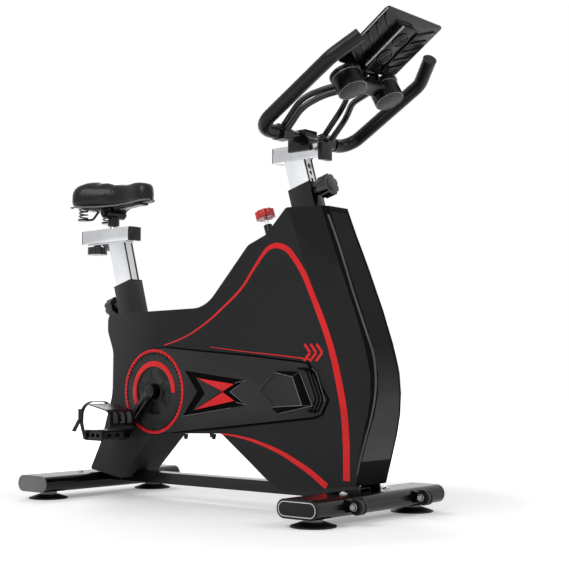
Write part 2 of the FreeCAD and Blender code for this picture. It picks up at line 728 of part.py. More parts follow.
for name, x, z, side in (("right", right_pedal_x, right_pedal_z, -1), ("left", left_pedal_x, left_pedal_z,
                                                                       1)):
    add("pedal_" + name, pedal(x, z, side))
    add("toe_cage_" + name, toe_cage(x, z, side))
    add("toe_strap_" + name, toe_strap(x, z, side))

wheel_start = V(flywheel_x, flywheel_y - flywheel_width / 2, flywheel_z)
wheel_end = V(flywheel_x, flywheel_y + flywheel_width / 2, flywheel_z)
hub_end = V(flywheel_x, pulley_y + pulley_width / 2, flywheel_z)
hub_start = V(flywheel_x, right_fork_y + fork_thickness / 2 + 1, flywheel_z)
small_start = V(flywheel_x, pulley_y - pulley_width / 2, flywheel_z)
flywheel_rim = ring(flywheel_radius, flywheel_radius - 40, wheel_start, wheel_end)
flywheel_web = rod(flywheel_radius - 39, wheel_start + V(0, 6, 0), wheel_end - V(0, 6, 0))
flywheel_hub = rod(20.0, hub_start, small_start)
small_pulley = rod(small_pulley_radius, small_start, hub_end)
flywheel = joined([flywheel_rim, flywheel_web, flywheel_hub, small_pulley])
flywheel_bore = rod(flywheel_axle_radius + running_clearance, hub_start - V(0, 1, 0), hub_end + V(0, 1, 0))
add("flywheel", flywheel.cut(flywheel_bore))


def belt():
    """Open belt round both pulleys: a straight run above and below, wrapped on each."""
    run = math.hypot(flywheel_x - crank_x, flywheel_z - crank_z)
    slope = math.atan2(flywheel_z - crank_z, flywheel_x - crank_x)
    gap = 0.3

    def hull(extra):
        big = pulley_radius + gap + extra
        small = small_pulley_radius + gap + extra
        wrap = math.acos((big - small) / run)
        points = []
        for centre, radius in ((V(crank_x, 0, crank_z), big), (V(flywheel_x, 0, flywheel_z), small)):
            for sign in (1, -1):
                a = slope + sign * wrap
                points.append(centre + V(radius * math.cos(a), 0, radius * math.sin(a)))
        body = Part.Face(Part.makePolygon([points[0], points[2], points[3], points[1], points[0]]))
        body = body.extrude(V(0, pulley_width - 2, 0))
        body.translate(V(0, pulley_y - pulley_width / 2 + 1, 0))
        y0, y1 = pulley_y - pulley_width / 2 + 1, pulley_y + pulley_width / 2 - 1
        big_disc = rod(big, V(crank_x, y0, crank_z), V(crank_x, y1, crank_z))
        small_disc = rod(small, V(flywheel_x, y0, flywheel_z), V(flywheel_x, y1, flywheel_z))
        return body.fuse([big_disc, small_disc]).removeSplitter()

    return hull(belt_thickness).cut(hull(0))


add("drive_belt", belt())

# ---- brake --------------------------------------------------------------------------
brake_tube = ring(brake_tube_radius, brake_rod_radius + sliding_clearance, on_brake_axis(20),
                  on_brake_axis(420))
brake_tube = brake_tube.cut(spine_solid)
add("brake_tube", max(brake_tube.Solids, key=lambda s: s.BoundBox.ZMax))
shoe_down = 352.0
rim_gap = brake_travel + 1.5
brake_rod = rod(brake_rod_radius, on_brake_axis(-6), on_brake_axis(shoe_down))
shoe = Part.makeBox(44, 22, 40, V(-22, -11, 0))
shoe = leaned(shoe, 0, 0, brake_lean)
low = on_brake_axis(shoe_down + 40)
shoe.translate(V(low.x, flywheel_y, low.z))
swept_rim = rod(flywheel_radius + rim_gap, V(flywheel_x, -60, flywheel_z), V(flywheel_x, 60, flywheel_z))
shoe = max(shoe.cut(swept_rim).Solids, key=lambda s: s.Volume)
add("brake_rod", joined([brake_rod, shoe]))


def lobed_knob(radius, height, lobes, bore):
    """A round hand knob with finger scallops, its flat back on z = 0, pointing up."""
    body = rod(radius, V(0, 0, 0), V(0, 0, height))
    cuts = []
    for i in range(lobes):
        a = 2 * math.pi * i / lobes
        centre = V(math.cos(a) * (radius + 4), math.sin(a) * (radius + 4), -1)
        cuts.append(rod(7.0, centre, centre + V(0, 0, height + 2)))
    body = body.cut(cuts)
    if bore > 0:
        body = body.cut(rod(bore, V(0, 0, -1), V(0, 0, height - 6)))
    return body


def pointed(shape, spot, way):
    """A shape made pointing up from the origin, set to point along a direction from a spot."""
    turned = shape.copy()
    turned.Placement = FreeCAD.Placement(spot, FreeCAD.Rotation(V(0, 0, 1), way))
    return turned


knob = lobed_knob(brake_knob_radius, brake_knob_height, 10, brake_rod_radius + running_clearance)
add("resistance_knob", pointed(knob, brake_knob_seat, brake_way))


# ---- posts and their knobs ----------------------------------------------------------
def post(length_up, index_side):
    """A rectangular chrome post, its mouth-of-sleeve point at the origin, with index holes."""
    tube = box_tube(post_depth, post_width, post_wall, -post_insertion, length_up)
    holes = []
    for i in range(9):
        z = -post_insertion + 22 + i * 20
        holes.append(rod(4.5, V(0, 0, z), V(index_side * 60, 0, z)))
    return tube.cut(holes)


def pin_knob(spot, way):
    """A spring pin with its lobed knob: the tip stops just short of the post."""
    neck_gap = 8.6
    pin = rod(pin_radius, V(0, 0, -sleeve_wall - bushing_wall + 0.1), V(0, 0, 34))
    collar = rod(pin_bushing_radius - 0.3, V(0, 0, -1), V(0, 0, 9))
    neck = rod(15.0, V(0, 0, neck_gap), V(0, 0, 22))
    knob_body = lobed_knob(knob_radius, 28, 8, 0)
    knob_body.translate(V(0, 0, 21))
    cap = rod(16.0, V(0, 0, 48), V(0, 0, 51.5))
    return pointed(joined([pin, collar, neck, knob_body, cap]), spot, way)


add("seat_post_knob", pin_knob(seat_knob_spot, seat_knob_way))
add("handlebar_post_knob", pin_knob(head_knob_spot, head_knob_way))

seat_rise = (seat_slider_base_z - seat_plate - seat_top_z) / math.cos(math.radians(lean)) + 14
seat_post = leaned(post(seat_rise, -1), seat_top_x, seat_top_z)
above_plate = block(-800, 0, -100, 100, seat_slider_base_z - seat_plate, 2000)
seat_plate_rear_x = -548.0
seat_plate_front_x = -386.0
seat_head = block(seat_plate_rear_x, seat_plate_front_x, -post_width / 2, post_width / 2,
                  seat_slider_base_z - seat_plate, seat_slider_base_z - sliding_clearance)
seat_knob_x = -526.0
clamp_bolt_radius = 5.0
clamp_hole = rod(clamp_bolt_radius + running_clearance, V(seat_knob_x, 0, 600), V(seat_knob_x, 0, 800))
web = side_plate([(-455, 727), (-499, 727), (-452, 692), (-436, 692)], [0] * 4, -6, 6)
seat_post = seat_post.cut(above_plate)
web = web.cut(leaned(block(-post_depth / 2, post_depth / 2, -20, 20, -post_insertion, 400), seat_top_x,
                     seat_top_z))
seat_post = joined([seat_post, seat_head, web]).cut(clamp_hole)
add("seat_post", seat_post)

# ---- seat slider, clamp, saddle -----------------------------------------------------
tube_outer = block(seat_slider_rear_x, seat_slider_front_x, -slider_width / 2, slider_width / 2,
                   seat_slider_base_z, slider_top_z)
tube_inner = block(seat_slider_rear_x - 1, seat_slider_front_x + 1, -slider_width / 2 + slider_wall,
                   slider_width / 2 - slider_wall, seat_slider_base_z + slider_wall,
                   slider_top_z - slider_wall)
slot_travel = 40.0
slot = block(seat_knob_x - slot_travel, seat_knob_x + slot_travel, -clamp_bolt_radius - 1,
             clamp_bolt_radius + 1,
             seat_slider_base_z - 1, seat_slider_base_z + slider_wall + 1)
slider_tube = tube_outer.cut([tube_inner, slot])


def end_plug(x0, x1, plug_x, base_z):
    """A moulded end block: its flange outside the tube, its plug inside."""
    flange = block(x0, x1, -slider_width / 2, slider_width / 2, base_z, base_z + slider_height)
    inside = slider_wall + plug_clearance
    plug = block(min(plug_x, x0), max(plug_x, x1), -slider_width / 2 + inside, slider_width / 2 - inside,
                 base_z + inside, base_z + slider_height - inside)
    return joined([flange, plug])


rear_plug = end_plug(seat_slider_rear_x - 3, seat_slider_rear_x, seat_slider_rear_x + 8, seat_slider_base_z)
front_plug = end_plug(seat_slider_front_x, seat_slider_front_x + end_block, seat_slider_front_x - 15,
                      seat_slider_base_z)
add("seat_slider_caps", rear_plug, front_plug)

knob_top_z = seat_slider_base_z - seat_plate - 5
clamp_knob = pointed(lobed_knob(knob_radius, knob_height, 8, 0), V(seat_knob_x, 0, knob_top_z), V(0, 0, -1))
clamp_neck = rod(11.0, V(seat_knob_x, 0, knob_top_z - 1), V(seat_knob_x, 0,
                                                            seat_slider_base_z - seat_plate - 0.4))
clamp_bolt = rod(clamp_bolt_radius, V(seat_knob_x, 0, knob_top_z), V(seat_knob_x, 0, seat_slider_base_z + 10))
clamp_nut = rod(9.0, V(seat_knob_x, 0, seat_slider_base_z + slider_wall + 0.4), V(seat_knob_x, 0,
                                                                                  seat_slider_base_z + 9))
add("seat_slider_knob", joined([clamp_knob, clamp_neck, clamp_bolt, clamp_nut]))

stub_x = -455.0
stub_radius = 11.0
clamp_z = 816.0
rail_spacing = 22.0
rail_wire_radius = 3.5
stub = rod(stub_radius, V(stub_x, 0, slider_top_z), V(stub_x, 0, clamp_z - 14))
add("seat_slider", joined([slider_tube, stub]))
clamp_barrel_radius = 14.0
clamp_barrel = rod(clamp_barrel_radius, V(stub_x, -rail_spacing - 14, clamp_z), V(stub_x, rail_spacing + 14,
                                                                                  clamp_z))
clamp_collar = ring(17.0, stub_radius + 0.1, V(stub_x, 0, clamp_z - 36), V(stub_x, 0, clamp_z - 10))
clamp_bolt_bar = rod(5.0, V(stub_x, -rail_spacing - 20, clamp_z), V(stub_x, rail_spacing + 20, clamp_z))
clamp_heads = [rod(8.5, V(stub_x, s * (rail_spacing + 14), clamp_z), V(stub_x, s * (rail_spacing + 21),
                                                                       clamp_z))
               for s in (-1, 1)]
stub_clear = rod(stub_radius + 0.1, V(stub_x, 0, slider_top_z), V(stub_x, 0, clamp_z - 14))
add("saddle_clamp", joined([clamp_barrel, clamp_collar, clamp_bolt_bar] + clamp_heads).cut(stub_clear))


spring_x = -537.0
spring_y = 46.0
spring_base_z = 803.5
spring_wire = 2.2


def saddle_rail(side, grow=0.0):
    """A bent wire from the nose, level through the clamp, down to the spring's seat under the wing."""
    y = side * rail_spacing
    points = [V(-330, y * 0.45, 838), V(-356, y * 0.6, 837), V(-410, y, clamp_z + 18), V(-486, y,
                                                                                         clamp_z + 18),
              V(-512, y * 1.4, 801), V(spring_x, side * spring_y, 801)]
    wire = bent_rod(points, [14, 24, 12, 12], rail_wire_radius + grow)
    seat = rod(16.0, V(spring_x, side * spring_y, 798), V(spring_x, side * spring_y, spring_base_z))
    return joined([wire, seat])


def coil_spring(y):
    """A compression spring between the rail's seat and the saddle's shell."""
    radius = 12.0
    height = saddle_base_z - spring_base_z - 2 * spring_wire - 0.4
    helix = Part.makeHelix(height / 4, height, radius)
    circle = Part.Wire(Part.makeCircle(spring_wire, V(radius, 0, 0), V(0, 1, 0)))
    spring = Part.Wire(helix).makePipeShell([circle], True, True)
    spring.translate(V(spring_x, y, spring_base_z + spring_wire + 0.2))
    return spring


jaw = ring(clamp_barrel_radius + 9, clamp_barrel_radius + 0.3, V(stub_x, -rail_spacing - 10, clamp_z),
           V(stub_x, rail_spacing + 10, clamp_z))
jaw = jaw.common(block(stub_x - 40, stub_x + 40, -60, 60, clamp_z + 5, clamp_z + 60))
jaw = jaw.cut([saddle_rail(-1, 0.1), saddle_rail(1, 0.1)])
add("saddle_rails", saddle_rail(-1), saddle_rail(1), coil_spring(-spring_y), coil_spring(spring_y), jaw)


def saddle_outline(grow):
    """Plan shape of the saddle: a narrow nose that widens in a curve to the two rear wings."""
    half = [V(nose_x + grow, 0, 0), V(nose_x - 12, 22 + grow, 0), V(-360, 27 + grow, 0), V(-430, 42 + grow,
                                                                                           0),
            V(-490, 78 + grow, 0), V(-535, saddle_half_width + grow, 0), V(tail_x - grow, 62, 0),
            V(tail_x + 6 - grow, 0, 0)]
    other = [V(p.x, -p.y, 0) for p in reversed(half[1:-1])]
    curve = Part.BSplineCurve()
    curve.interpolate(half + other, PeriodicFlag=True)
    return Part.Face(Part.Wire(curve.toShape()))


shell_plate = saddle_outline(-6).extrude(V(0, 0, 6))
shell_plate.translate(V(0, 0, saddle_base_z))
rail_lugs = block(-352, -322, -14, 14, 832, saddle_base_z + 1)
add("saddle_shell", joined([shell_plate, rail_lugs]).cut([saddle_rail(-1, 0.1), saddle_rail(1, 0.1)]))
cushion = saddle_outline(0).extrude(V(0, 0, saddle_thickness))
cushion.translate(V(0, 0, saddle_base_z + 6.4))
add("saddle", cushion)

# ---- handlebar post, head tube, carriage --------------------------------------------
head_rise = (head_tube_base_z - head_top_z) / math.cos(math.radians(lean)) + 14
head_post = leaned(post(head_rise, 1), head_top_x, head_top_z)
head_post = head_post.cut(block(-200, 700, -100, 100, head_tube_base_z, 2000))
head_tube = block(head_tube_rear_x, head_tube_front_x, -slider_width / 2, slider_width / 2, head_tube_base_z,
                  head_tube_top_z)
head_bore = block(head_tube_rear_x - 1, head_tube_front_x + 1, -slider_width / 2 + slider_wall,
                  slider_width / 2 - slider_wall, head_tube_base_z + slider_wall,
                  head_tube_top_z - slider_wall)
groove_depth = 1.2
grooves = [block(head_tube_rear_x + 2, head_tube_front_x - 2, s * slider_width / 2 - groove_depth,
                 s * slider_width / 2 + groove_depth, head_tube_top_z - 17,
                 head_tube_top_z - 3) for s in (-1, 1)]
add("handlebar_post", joined([head_post, head_tube.cut([head_bore] + grooves)]))
head_front = block(head_tube_front_x, head_cap_front_x, -slider_width / 2, slider_width / 2,
                   head_tube_base_z - 6, head_tube_top_z)
head_inside = slider_wall + plug_clearance
head_plug = block(head_tube_front_x - 18, head_tube_front_x + 1, -slider_width / 2 + head_inside,
                  slider_width / 2 - head_inside, head_tube_base_z + head_inside,
                  head_tube_top_z - head_inside)
rear_flange = block(head_tube_rear_x - 3, head_tube_rear_x, -slider_width / 2, slider_width / 2,
                    head_tube_base_z, head_tube_top_z)
rear_inner = block(head_tube_rear_x - 1, head_tube_rear_x + 15, -slider_width / 2 + head_inside,
                   slider_width / 2 - head_inside, head_tube_base_z + head_inside,
                   head_tube_top_z - head_inside)
add("head_tube_caps", joined([head_front, head_plug]), joined([rear_flange, rear_inner]))

saddle_inner_y = slider_width / 2 + sliding_clearance
carriage_outer_y = saddle_inner_y + carriage_wall
carriage_base_z = head_tube_top_z - 17.0
carriage = block(carriage_rear_x, carriage_front_x, -carriage_outer_y, carriage_outer_y, carriage_base_z,
                 bar_z)
carriage = carriage.cut(block(carriage_rear_x - 1, carriage_front_x + 1, -saddle_inner_y, saddle_inner_y,
                              carriage_base_z - 1, head_tube_top_z + sliding_clearance))
shoulders = side_plate([(carriage_rear_x - 1, bar_z - 8), (bar_x - 26, bar_z + 1), (carriage_rear_x - 1,
                                                                                    bar_z + 1)],
                       [0] * 3, -60, 60)
front_shoulder = side_plate([(carriage_front_x + 1, bar_z - 8), (carriage_front_x + 1, bar_z + 1),
                             (bar_x + 26, bar_z + 1)],
                            [0] * 3, -60, 60)
crossbar_solid = rod(bar_radius + 0.1, V(bar_x, -140, bar_z), V(bar_x, 140, bar_z))
carriage = carriage.cut([shoulders, front_shoulder, crossbar_solid])
clamp_screw_x = carriage_front_x - 14
clamp_screw_z = carriage_base_z + 9
screw_hole = rod(4.0 + running_clearance, V(clamp_screw_x, 0, clamp_screw_z), V(clamp_screw_x, 60,
                                                                                clamp_screw_z))
carriage = carriage.cut(screw_hole)
carriage = max(carriage.Solids, key=lambda s: s.Volume)
top_clamp = block(bar_x - 22, bar_x + 22, -carriage_outer_y, carriage_outer_y, bar_z, bar_z + bar_radius + 4)
add("handlebar_carriage", carriage, top_clamp.cut(crossbar_solid))
screw = rod(4.0, V(clamp_screw_x, saddle_inner_y, clamp_screw_z), V(clamp_screw_x, carriage_outer_y + 12,
                                                                    clamp_screw_z))
slide_knob = pointed(lobed_knob(18.0, 16.0, 6, 0), V(clamp_screw_x, carriage_outer_y + 6, clamp_screw_z),
                     V(0, 1, 0))
slide_neck = rod(8.0, V(clamp_screw_x, carriage_outer_y + 0.4, clamp_screw_z), V(clamp_screw_x,
                                                                                 carriage_outer_y + 7, clamp_screw_z))
add("handlebar_slide_knob", joined([screw, slide_knob, slide_neck]))

# ---- handlebar ----------------------------------------------------------------------
corner = V(bar_x, bar_half_width, bar_z)
kink = V(kink_x, kink_y, kink_z)
tip = V(tip_x, tip_y, tip_z)


def flip(point):
    return V(point.x, -point.y, point.z)


bar_points = [flip(tip), flip(kink), flip(corner), corner, kink, tip]
bar = bent_rod(bar_points, [kink_bend, bar_bend, bar_bend, kink_bend], bar_radius)
add("handlebar", bar)
grip_path = [V(bar_x, grip_start_y, bar_z), corner, kink, tip]
grip_outer = bent_rod(grip_path, [bar_bend, kink_bend], grip_radius)
grip_inner = bent_rod(grip_path, [bar_bend, kink_bend], bar_radius + 0.2)
tip_way = (tip - kink).normalize()
end_plug_left = rod(grip_radius, tip, tip + tip_way * 5)
grip = joined([grip_outer.cut(grip_inner), end_plug_left])
add("grips", grip, mirrored(grip))

# ---- hand rests, bridge, inner tubes---------------------------------------------------
drum_way = V(-math.sin(math.radians(drum_lean)), 0, math.cos(math.radians(drum_lean)))


def drum(y, grow=0.0, top=0.0):
    bottom = V(drum_bottom_x, y, drum_bottom_z)
    return rod(drum_radius + grow, bottom + drum_way * top, bottom + drum_way * drum_depth)


bridge_outline = [(468, 1036), (502, 1052), (488, 1076), (470, 1079), (447, 1075), (443, 1044)]
bridge = side_plate(bridge_outline, [5] * 6, -drum_y, drum_y)
flange_from = drum_depth - 6
drums = []
for y in (-drum_y, drum_y):
    drums.append(drum(y))
    drums.append(drum(y, drum_flange, flange_from))

hinge_x = 478.0
hinge_z = 1092.0
hinge_radius = 4.0
ear_y = 22.0
ear_thickness = 6.0


def hinge_ear(y0):
    outline = [(hinge_x - 26, hinge_z - 34), (hinge_x + 18, hinge_z - 22), (hinge_x + 8, hinge_z + 6),
               (hinge_x - 8, hinge_z + 6)]
    return side_plate(outline, [2, 6, 6, 6], y0, y0 + ear_thickness)


ears = [hinge_ear(-ear_y - ear_thickness), hinge_ear(ear_y)]
hinge_pin = rod(hinge_radius, V(hinge_x, -ear_y - ear_thickness - 3, hinge_z), V(hinge_x,
                                                                                 ear_y + ear_thickness + 3, hinge_z))
add("hand_rests", joined([bridge] + drums + ears + [hinge_pin]))

# Each pair rises from the crossbar, bends inward over the head tube and ends on the bridge.
upper_tube = [V(bar_x - 11, 83, bar_z + 10), V(334, 82, 1033), V(384, 44, 1057), V(456, 24, 1064)]
lower_tube = [V(bar_x + 8, 89, bar_z - 2), V(342, 89, 1008), V(385, 58, 1036), V(454, 35, 1048)]
tube_bends = [85, 100]


def inner_tube(side, points, grow=0.0):
    """One tube of a pair, from the crossbar to the bridge between the hand rests."""
    if side < 0:
        points = [flip(point) for point in points]
    tube = bent_rod(points, tube_bends, inner_tube_radius + grow)
    if grow > 0:
        return tube
    y = side * drum_y
    trimmed = tube.cut([crossbar_solid, bridge, drum(y, 0.1), drum(y, drum_flange + 0.1, flange_from - 0.1)])
    return max(trimmed.Solids, key=lambda s: s.Volume)


socket_half = 17.0


def tube_socket(side):
    """A moulded block on the crossbar that takes one pair of inner tubes."""
    y0, y1 = inner_tube_y - socket_half, inner_tube_y + socket_half
    outline = [(bar_x - 20, bar_z - 17), (bar_x + 20, bar_z - 17), (bar_x + 23, bar_z + 6), (bar_x + 2,
                                                                                             bar_z + 24),
               (bar_x - 22, bar_z + 18)]
    socket = side_plate(outline, [7] * 5, y0, y1)
    if side < 0:
        socket = mirrored(socket)
    return socket.cut([crossbar_solid, inner_tube(side, lower_tube, 0.1), inner_tube(side, upper_tube, 0.1)])


sockets = [max(tube_socket(side).Solids, key=lambda s: s.Volume) for side in (-1, 1)]
tubes = [inner_tube(side, points) for side in (-1, 1) for points in (lower_tube, upper_tube)]
add("inner_tubes", *(tubes + sockets))


# ---- tablet holder ------------------------------------------------------------------
def tray():
    """Made level with its far edge at the origin, then set to its slope."""
    plate = block(-tray_length, 0, -tray_width / 2, tray_width / 2, -tray_thickness, 0)
    plate = plate.makeFillet(10.0, [e for e in plate.Edges if abs(e.Vertexes[0].Z - e.Vertexes[1].Z) > 1])
    lip = block(-tray_length - 4, -tray_length, -tray_width / 2 + 12, tray_width / 2 - 12, -tray_thickness,
                tray_lip)
    spine_box = block(-tray_length + 26, -32, -34, 34, -tray_thickness - 13, -tray_thickness)
    bosses = [rod(20.0, V(x, 0, -tray_thickness - 14.5), V(x, 0, -tray_thickness - 12)) for x in (-66, -122)]
    whole = joined([plate, lip, spine_box] + bosses)
    whole.rotate(V(0, 0, 0), V(0, 1, 0), -tray_angle)
    whole.translate(V(tray_top_x, 0, tray_top_z))
    return whole


barrel_half = ear_y - sliding_clearance
barrel = rod(9.0, V(hinge_x, -barrel_half, hinge_z), V(hinge_x, barrel_half, hinge_z))
barrel_web = side_plate([(hinge_x - 6, hinge_z + 4), (hinge_x + 10, hinge_z - 2), (hinge_x + 40,
                                                                                   hinge_z + 22),
                         (hinge_x + 4, hinge_z + 14)], [0] * 4, -barrel_half, barrel_half)
tray_solid = joined([tray(), barrel, barrel_web])
pin_bore = rod(hinge_radius + running_clearance, V(hinge_x, -80, hinge_z), V(hinge_x, 80, hinge_z))
ear_sweep = [rod(12.0, V(hinge_x, y0 - sliding_clearance, hinge_z), V(hinge_x,
                                                                      y0 + ear_thickness + sliding_clearance, hinge_z))
             for y0 in (-ear_y - ear_thickness, ear_y)]
add("tablet_holder", tray_solid.cut([pin_bore] + ear_sweep))

# ---- fasteners ----------------------------------------------------------------------
bolts = []
for bar_centre in (floor_bar_front_x, floor_bar_rear_x):
    for y in (-86, 86):
        base = V(bar_centre, y, floor_bar_top_z)
        washer = rod(10.0, base, base + V(0, 0, 2))
        dome = Part.makeSphere(9.0, base + V(0, 0, -2.5)).common(
            block(bar_centre - 20, bar_centre + 20, y - 20, y + 20, floor_bar_top_z + 1,
                  floor_bar_top_z + 20))
        bolts.append(joined([washer, dome]))
add("floor_bar_bolts", *bolts)

# ---- export -------------------------------------------------------------------------
os.makedirs("parts", exist_ok=True)
for name, shape in parts.items():
    placed = shape.copy()
    placed.translate(V(-middle_x, 0, 0))
    placed.exportStep("parts/" + name + ".step")
    solids = placed.Solids
    good = "ok" if placed.isValid() else "INVALID"
    print(name, len(solids), good, round(placed.Volume / 1000.0, 1))
print(len(parts), "nodes")
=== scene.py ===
import json
import math

import bmesh
import bpy
from mathutils import Matrix, Vector
from mathutils.bvhtree import BVHTree


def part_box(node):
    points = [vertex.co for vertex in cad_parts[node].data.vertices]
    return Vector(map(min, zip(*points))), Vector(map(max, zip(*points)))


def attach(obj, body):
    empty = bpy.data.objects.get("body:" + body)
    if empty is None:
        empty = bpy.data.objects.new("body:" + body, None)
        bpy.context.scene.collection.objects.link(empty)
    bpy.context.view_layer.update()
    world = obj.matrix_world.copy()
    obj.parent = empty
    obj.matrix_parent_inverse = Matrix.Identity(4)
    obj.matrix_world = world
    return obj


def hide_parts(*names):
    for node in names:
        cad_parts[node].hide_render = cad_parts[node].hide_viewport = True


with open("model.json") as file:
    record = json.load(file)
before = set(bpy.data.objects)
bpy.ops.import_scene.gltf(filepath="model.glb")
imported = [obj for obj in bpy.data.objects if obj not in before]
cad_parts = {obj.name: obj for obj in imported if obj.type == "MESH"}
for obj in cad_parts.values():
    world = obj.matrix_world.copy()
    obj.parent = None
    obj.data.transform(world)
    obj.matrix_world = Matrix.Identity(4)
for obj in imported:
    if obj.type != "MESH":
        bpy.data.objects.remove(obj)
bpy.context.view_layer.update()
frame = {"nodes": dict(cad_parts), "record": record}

# ---- camera, floor and studio light --------------------------------------------------
# The machine stands on a plain white sweep, seen from low down in front of its right side.
# Three large soft lamps light it from above; the sweep itself shows white to the camera.


def node(tree, kind, inputs=None, **settings):
    """A shader node with its settings, and its inputs given as values or as other sockets."""
    made = tree.nodes.new("ShaderNode" + kind)
    for key, value in settings.items():
        setattr(made, key, value)
    for key, value in (inputs or {}).items():
        if isinstance(value, bpy.types.NodeSocket):
            tree.links.new(value, made.inputs[key])
        else:
            made.inputs[key].default_value = value
    return made


def seen_directly(tree):
    """1 for rays from the camera and for rays in metal or glass, 0 for the light on a surface."""
    path = node(tree, "LightPath")
    either = node(tree, "Math", {0: path.outputs["Is Camera Ray"], 1: path.outputs["Is Glossy Ray"]},
                  operation="MAXIMUM")
    every = node(tree, "Math", {0: either.outputs[0], 1: path.outputs["Is Transmission Ray"]},
                 operation="MAXIMUM")
    return every.outputs[0]


scene = bpy.context.scene
scene.view_settings.view_transform = "Standard"

camera_data = bpy.data.cameras.new("camera")
camera_data.lens = 75.57
camera_data.sensor_width = 36.0
camera_data.clip_end = 60.0
camera = bpy.data.objects.new("camera", camera_data)
camera.location = (2.1772, -2.3399, 0.3555)
camera_way = Vector((-0.6469, 0.7591, 0.0724))
camera.rotation_euler = camera_way.to_track_quat("-Z", "Y").to_euler()
scene.collection.objects.link(camera)
scene.camera = camera

# the sweep lights surfaces with a share of the white that the camera sees
FILL = 0.36
world = bpy.data.worlds.new("sweep")
scene.world = world
world.use_nodes = True
world_tree = world.node_tree
shine = node(world_tree, "MapRange", {"Value": seen_directly(world_tree), "To Min": FILL, "To Max": 1.0})
world_light = world_tree.nodes["Background"]
world_light.inputs["Color"].default_value = (1.0, 1.0, 1.0, 1.0)
world_tree.links.new(shine.outputs[0], world_light.inputs["Strength"])

# the floor glows faintly near the machine, so its shadow shows, and full white further out
LIFT = 0.27
SHADE_RADIUS = 0.75
WHITE_RADIUS = 1.7
floor_bm = bmesh.new()
bmesh.ops.create_grid(floor_bm, x_segments=1, y_segments=1, size=12.0)
floor_mesh = bpy.data.meshes.new("floor")
floor_bm.to_mesh(floor_mesh)
floor_bm.free()
floor = bpy.data.objects.new("floor", floor_mesh)
scene.collection.objects.link(floor)
floor_finish = bpy.data.materials.new("floor_white")
floor_finish.use_nodes = True
floor_tree = floor_finish.node_tree
floor_shader = floor_tree.nodes["Principled BSDF"]
floor_shader.inputs["Base Color"].default_value = (0.86, 0.86, 0.86, 1.0)
floor_shader.inputs["Roughness"].default_value = 0.8
floor_shader.inputs["Specular IOR Level"].default_value = 0.2
floor_shader.inputs["Emission Color"].default_value = (1.0, 1.0, 1.0, 1.0)
floor_spot = node(floor_tree, "VectorMath", {0: node(floor_tree, "TexCoord").outputs["Object"]},
                  operation="LENGTH")
floor_fade = node(floor_tree, "MapRange", {"Value": floor_spot.outputs["Value"], "From Min": SHADE_RADIUS,
                                           "From Max": WHITE_RADIUS, "To Min": LIFT, "To Max": 1.0})
floor_glow = node(floor_tree, "Math", {0: seen_directly(floor_tree), 1: floor_fade.outputs[0]},
                  operation="MULTIPLY")
floor_tree.links.new(floor_glow.outputs[0], floor_shader.inputs["Emission Strength"])
floor_mesh.materials.append(floor_finish)

# where each lamp hangs, its width and its power
LAMPS = {
    "key_lamp": ((0.4, -2.9, 3.0), 2.2, 62.0),
    "front_lamp": ((3.2, 0.6, 2.2), 1.6, 34.0),
    "back_lamp": ((-2.6, 1.6, 2.6), 1.8, 40.0),
}
LAMP_AIM = Vector((0.0, 0.0, 0.5))
for lamp_name, (lamp_spot, lamp_size, watts) in LAMPS.items():
    lamp_data = bpy.data.lights.new(lamp_name, "AREA")
    lamp_data.size = lamp_size
    lamp_data.energy = watts
    lamp = bpy.data.objects.new(lamp_name, lamp_data)
    lamp.location = lamp_spot
    lamp.rotation_euler = (LAMP_AIM - Vector(lamp_spot)).to_track_quat("-Z", "Y").to_euler()
    scene.collection.objects.link(lamp)

# ---- floor bars, end caps and base rail ----------------------------------------------
# Two flat-oval steel tubes in glossy black powder coat, joined by a welded rectangular rail.
# Moulded caps close their ends: grey on the rear bar, black on the front one.

MM = 0.001
SIDES = ((-1, "right"), (1, "left"))
body_of_node = {member: body for body, members in frame["record"]["behaviour"]["bodies"].items()
                for member in members}


def tint(red, green, blue):
    """A colour written as 0 to 255 display values, made linear for the shader."""
    linear = [((c / 255 + 0.055) / 1.055) ** 2.4 if c > 10 else c / 255 / 12.92 for c in (red, green, blue)]
    return (*linear, 1.0)


def finish(name, dark, light, roughness, grain, relief, tone_scale=6.0, **constants):
    """A surface whose colour drifts between two tones, with patchy gloss and a fine grain."""
    material = bpy.data.materials.new(name)
    material.use_nodes = True
    tree = material.node_tree
    shader = tree.nodes["Principled BSDF"]
    where = node(tree, "TexCoord").outputs["Object"]
    drift = node(tree, "TexNoise", {"Vector": where, "Scale": tone_scale, "Detail": 7.0, "Roughness": 0.62})
    tones = node(tree, "ValToRGB", {"Fac": drift.outputs["Fac"]})
    tones.color_ramp.elements[0].position = 0.32
    tones.color_ramp.elements[1].position = 0.68
    tones.color_ramp.elements[0].color = tint(*dark)
    tones.color_ramp.elements[1].color = tint(*light)
    tree.links.new(tones.outputs["Color"], shader.inputs["Base Color"])
    patches = node(tree, "TexNoise", {"Vector": where, "Scale": 38.0, "Detail": 5.0, "Roughness": 0.7})
    gloss = node(tree, "MapRange", {"Value": patches.outputs["Fac"], "From Min": 0.3, "From Max": 0.7,
                                    "To Min": roughness * 0.85, "To Max": roughness * 1.15})
    tree.links.new(gloss.outputs[0], shader.inputs["Roughness"])
    pores = node(tree, "TexNoise", {"Vector": where, "Scale": grain, "Detail": 3.0})
    bump = node(tree, "Bump", {"Height": pores.outputs["Fac"], "Strength": 0.6, "Distance": relief})
    tree.links.new(bump.outputs["Normal"], shader.inputs["Normal"])
    for key, value in constants.items():
        shader.inputs[key.replace("_", " ")].default_value = value
    return material


def verts_in(geometry):
    """The vertices among what an operator returned."""
    return [v for v in geometry if isinstance(v, bmesh.types.BMVert)]


def edges_in(geometry):
    """The edges among what an operator returned."""
    return [e for e in geometry if isinstance(e, bmesh.types.BMEdge)]


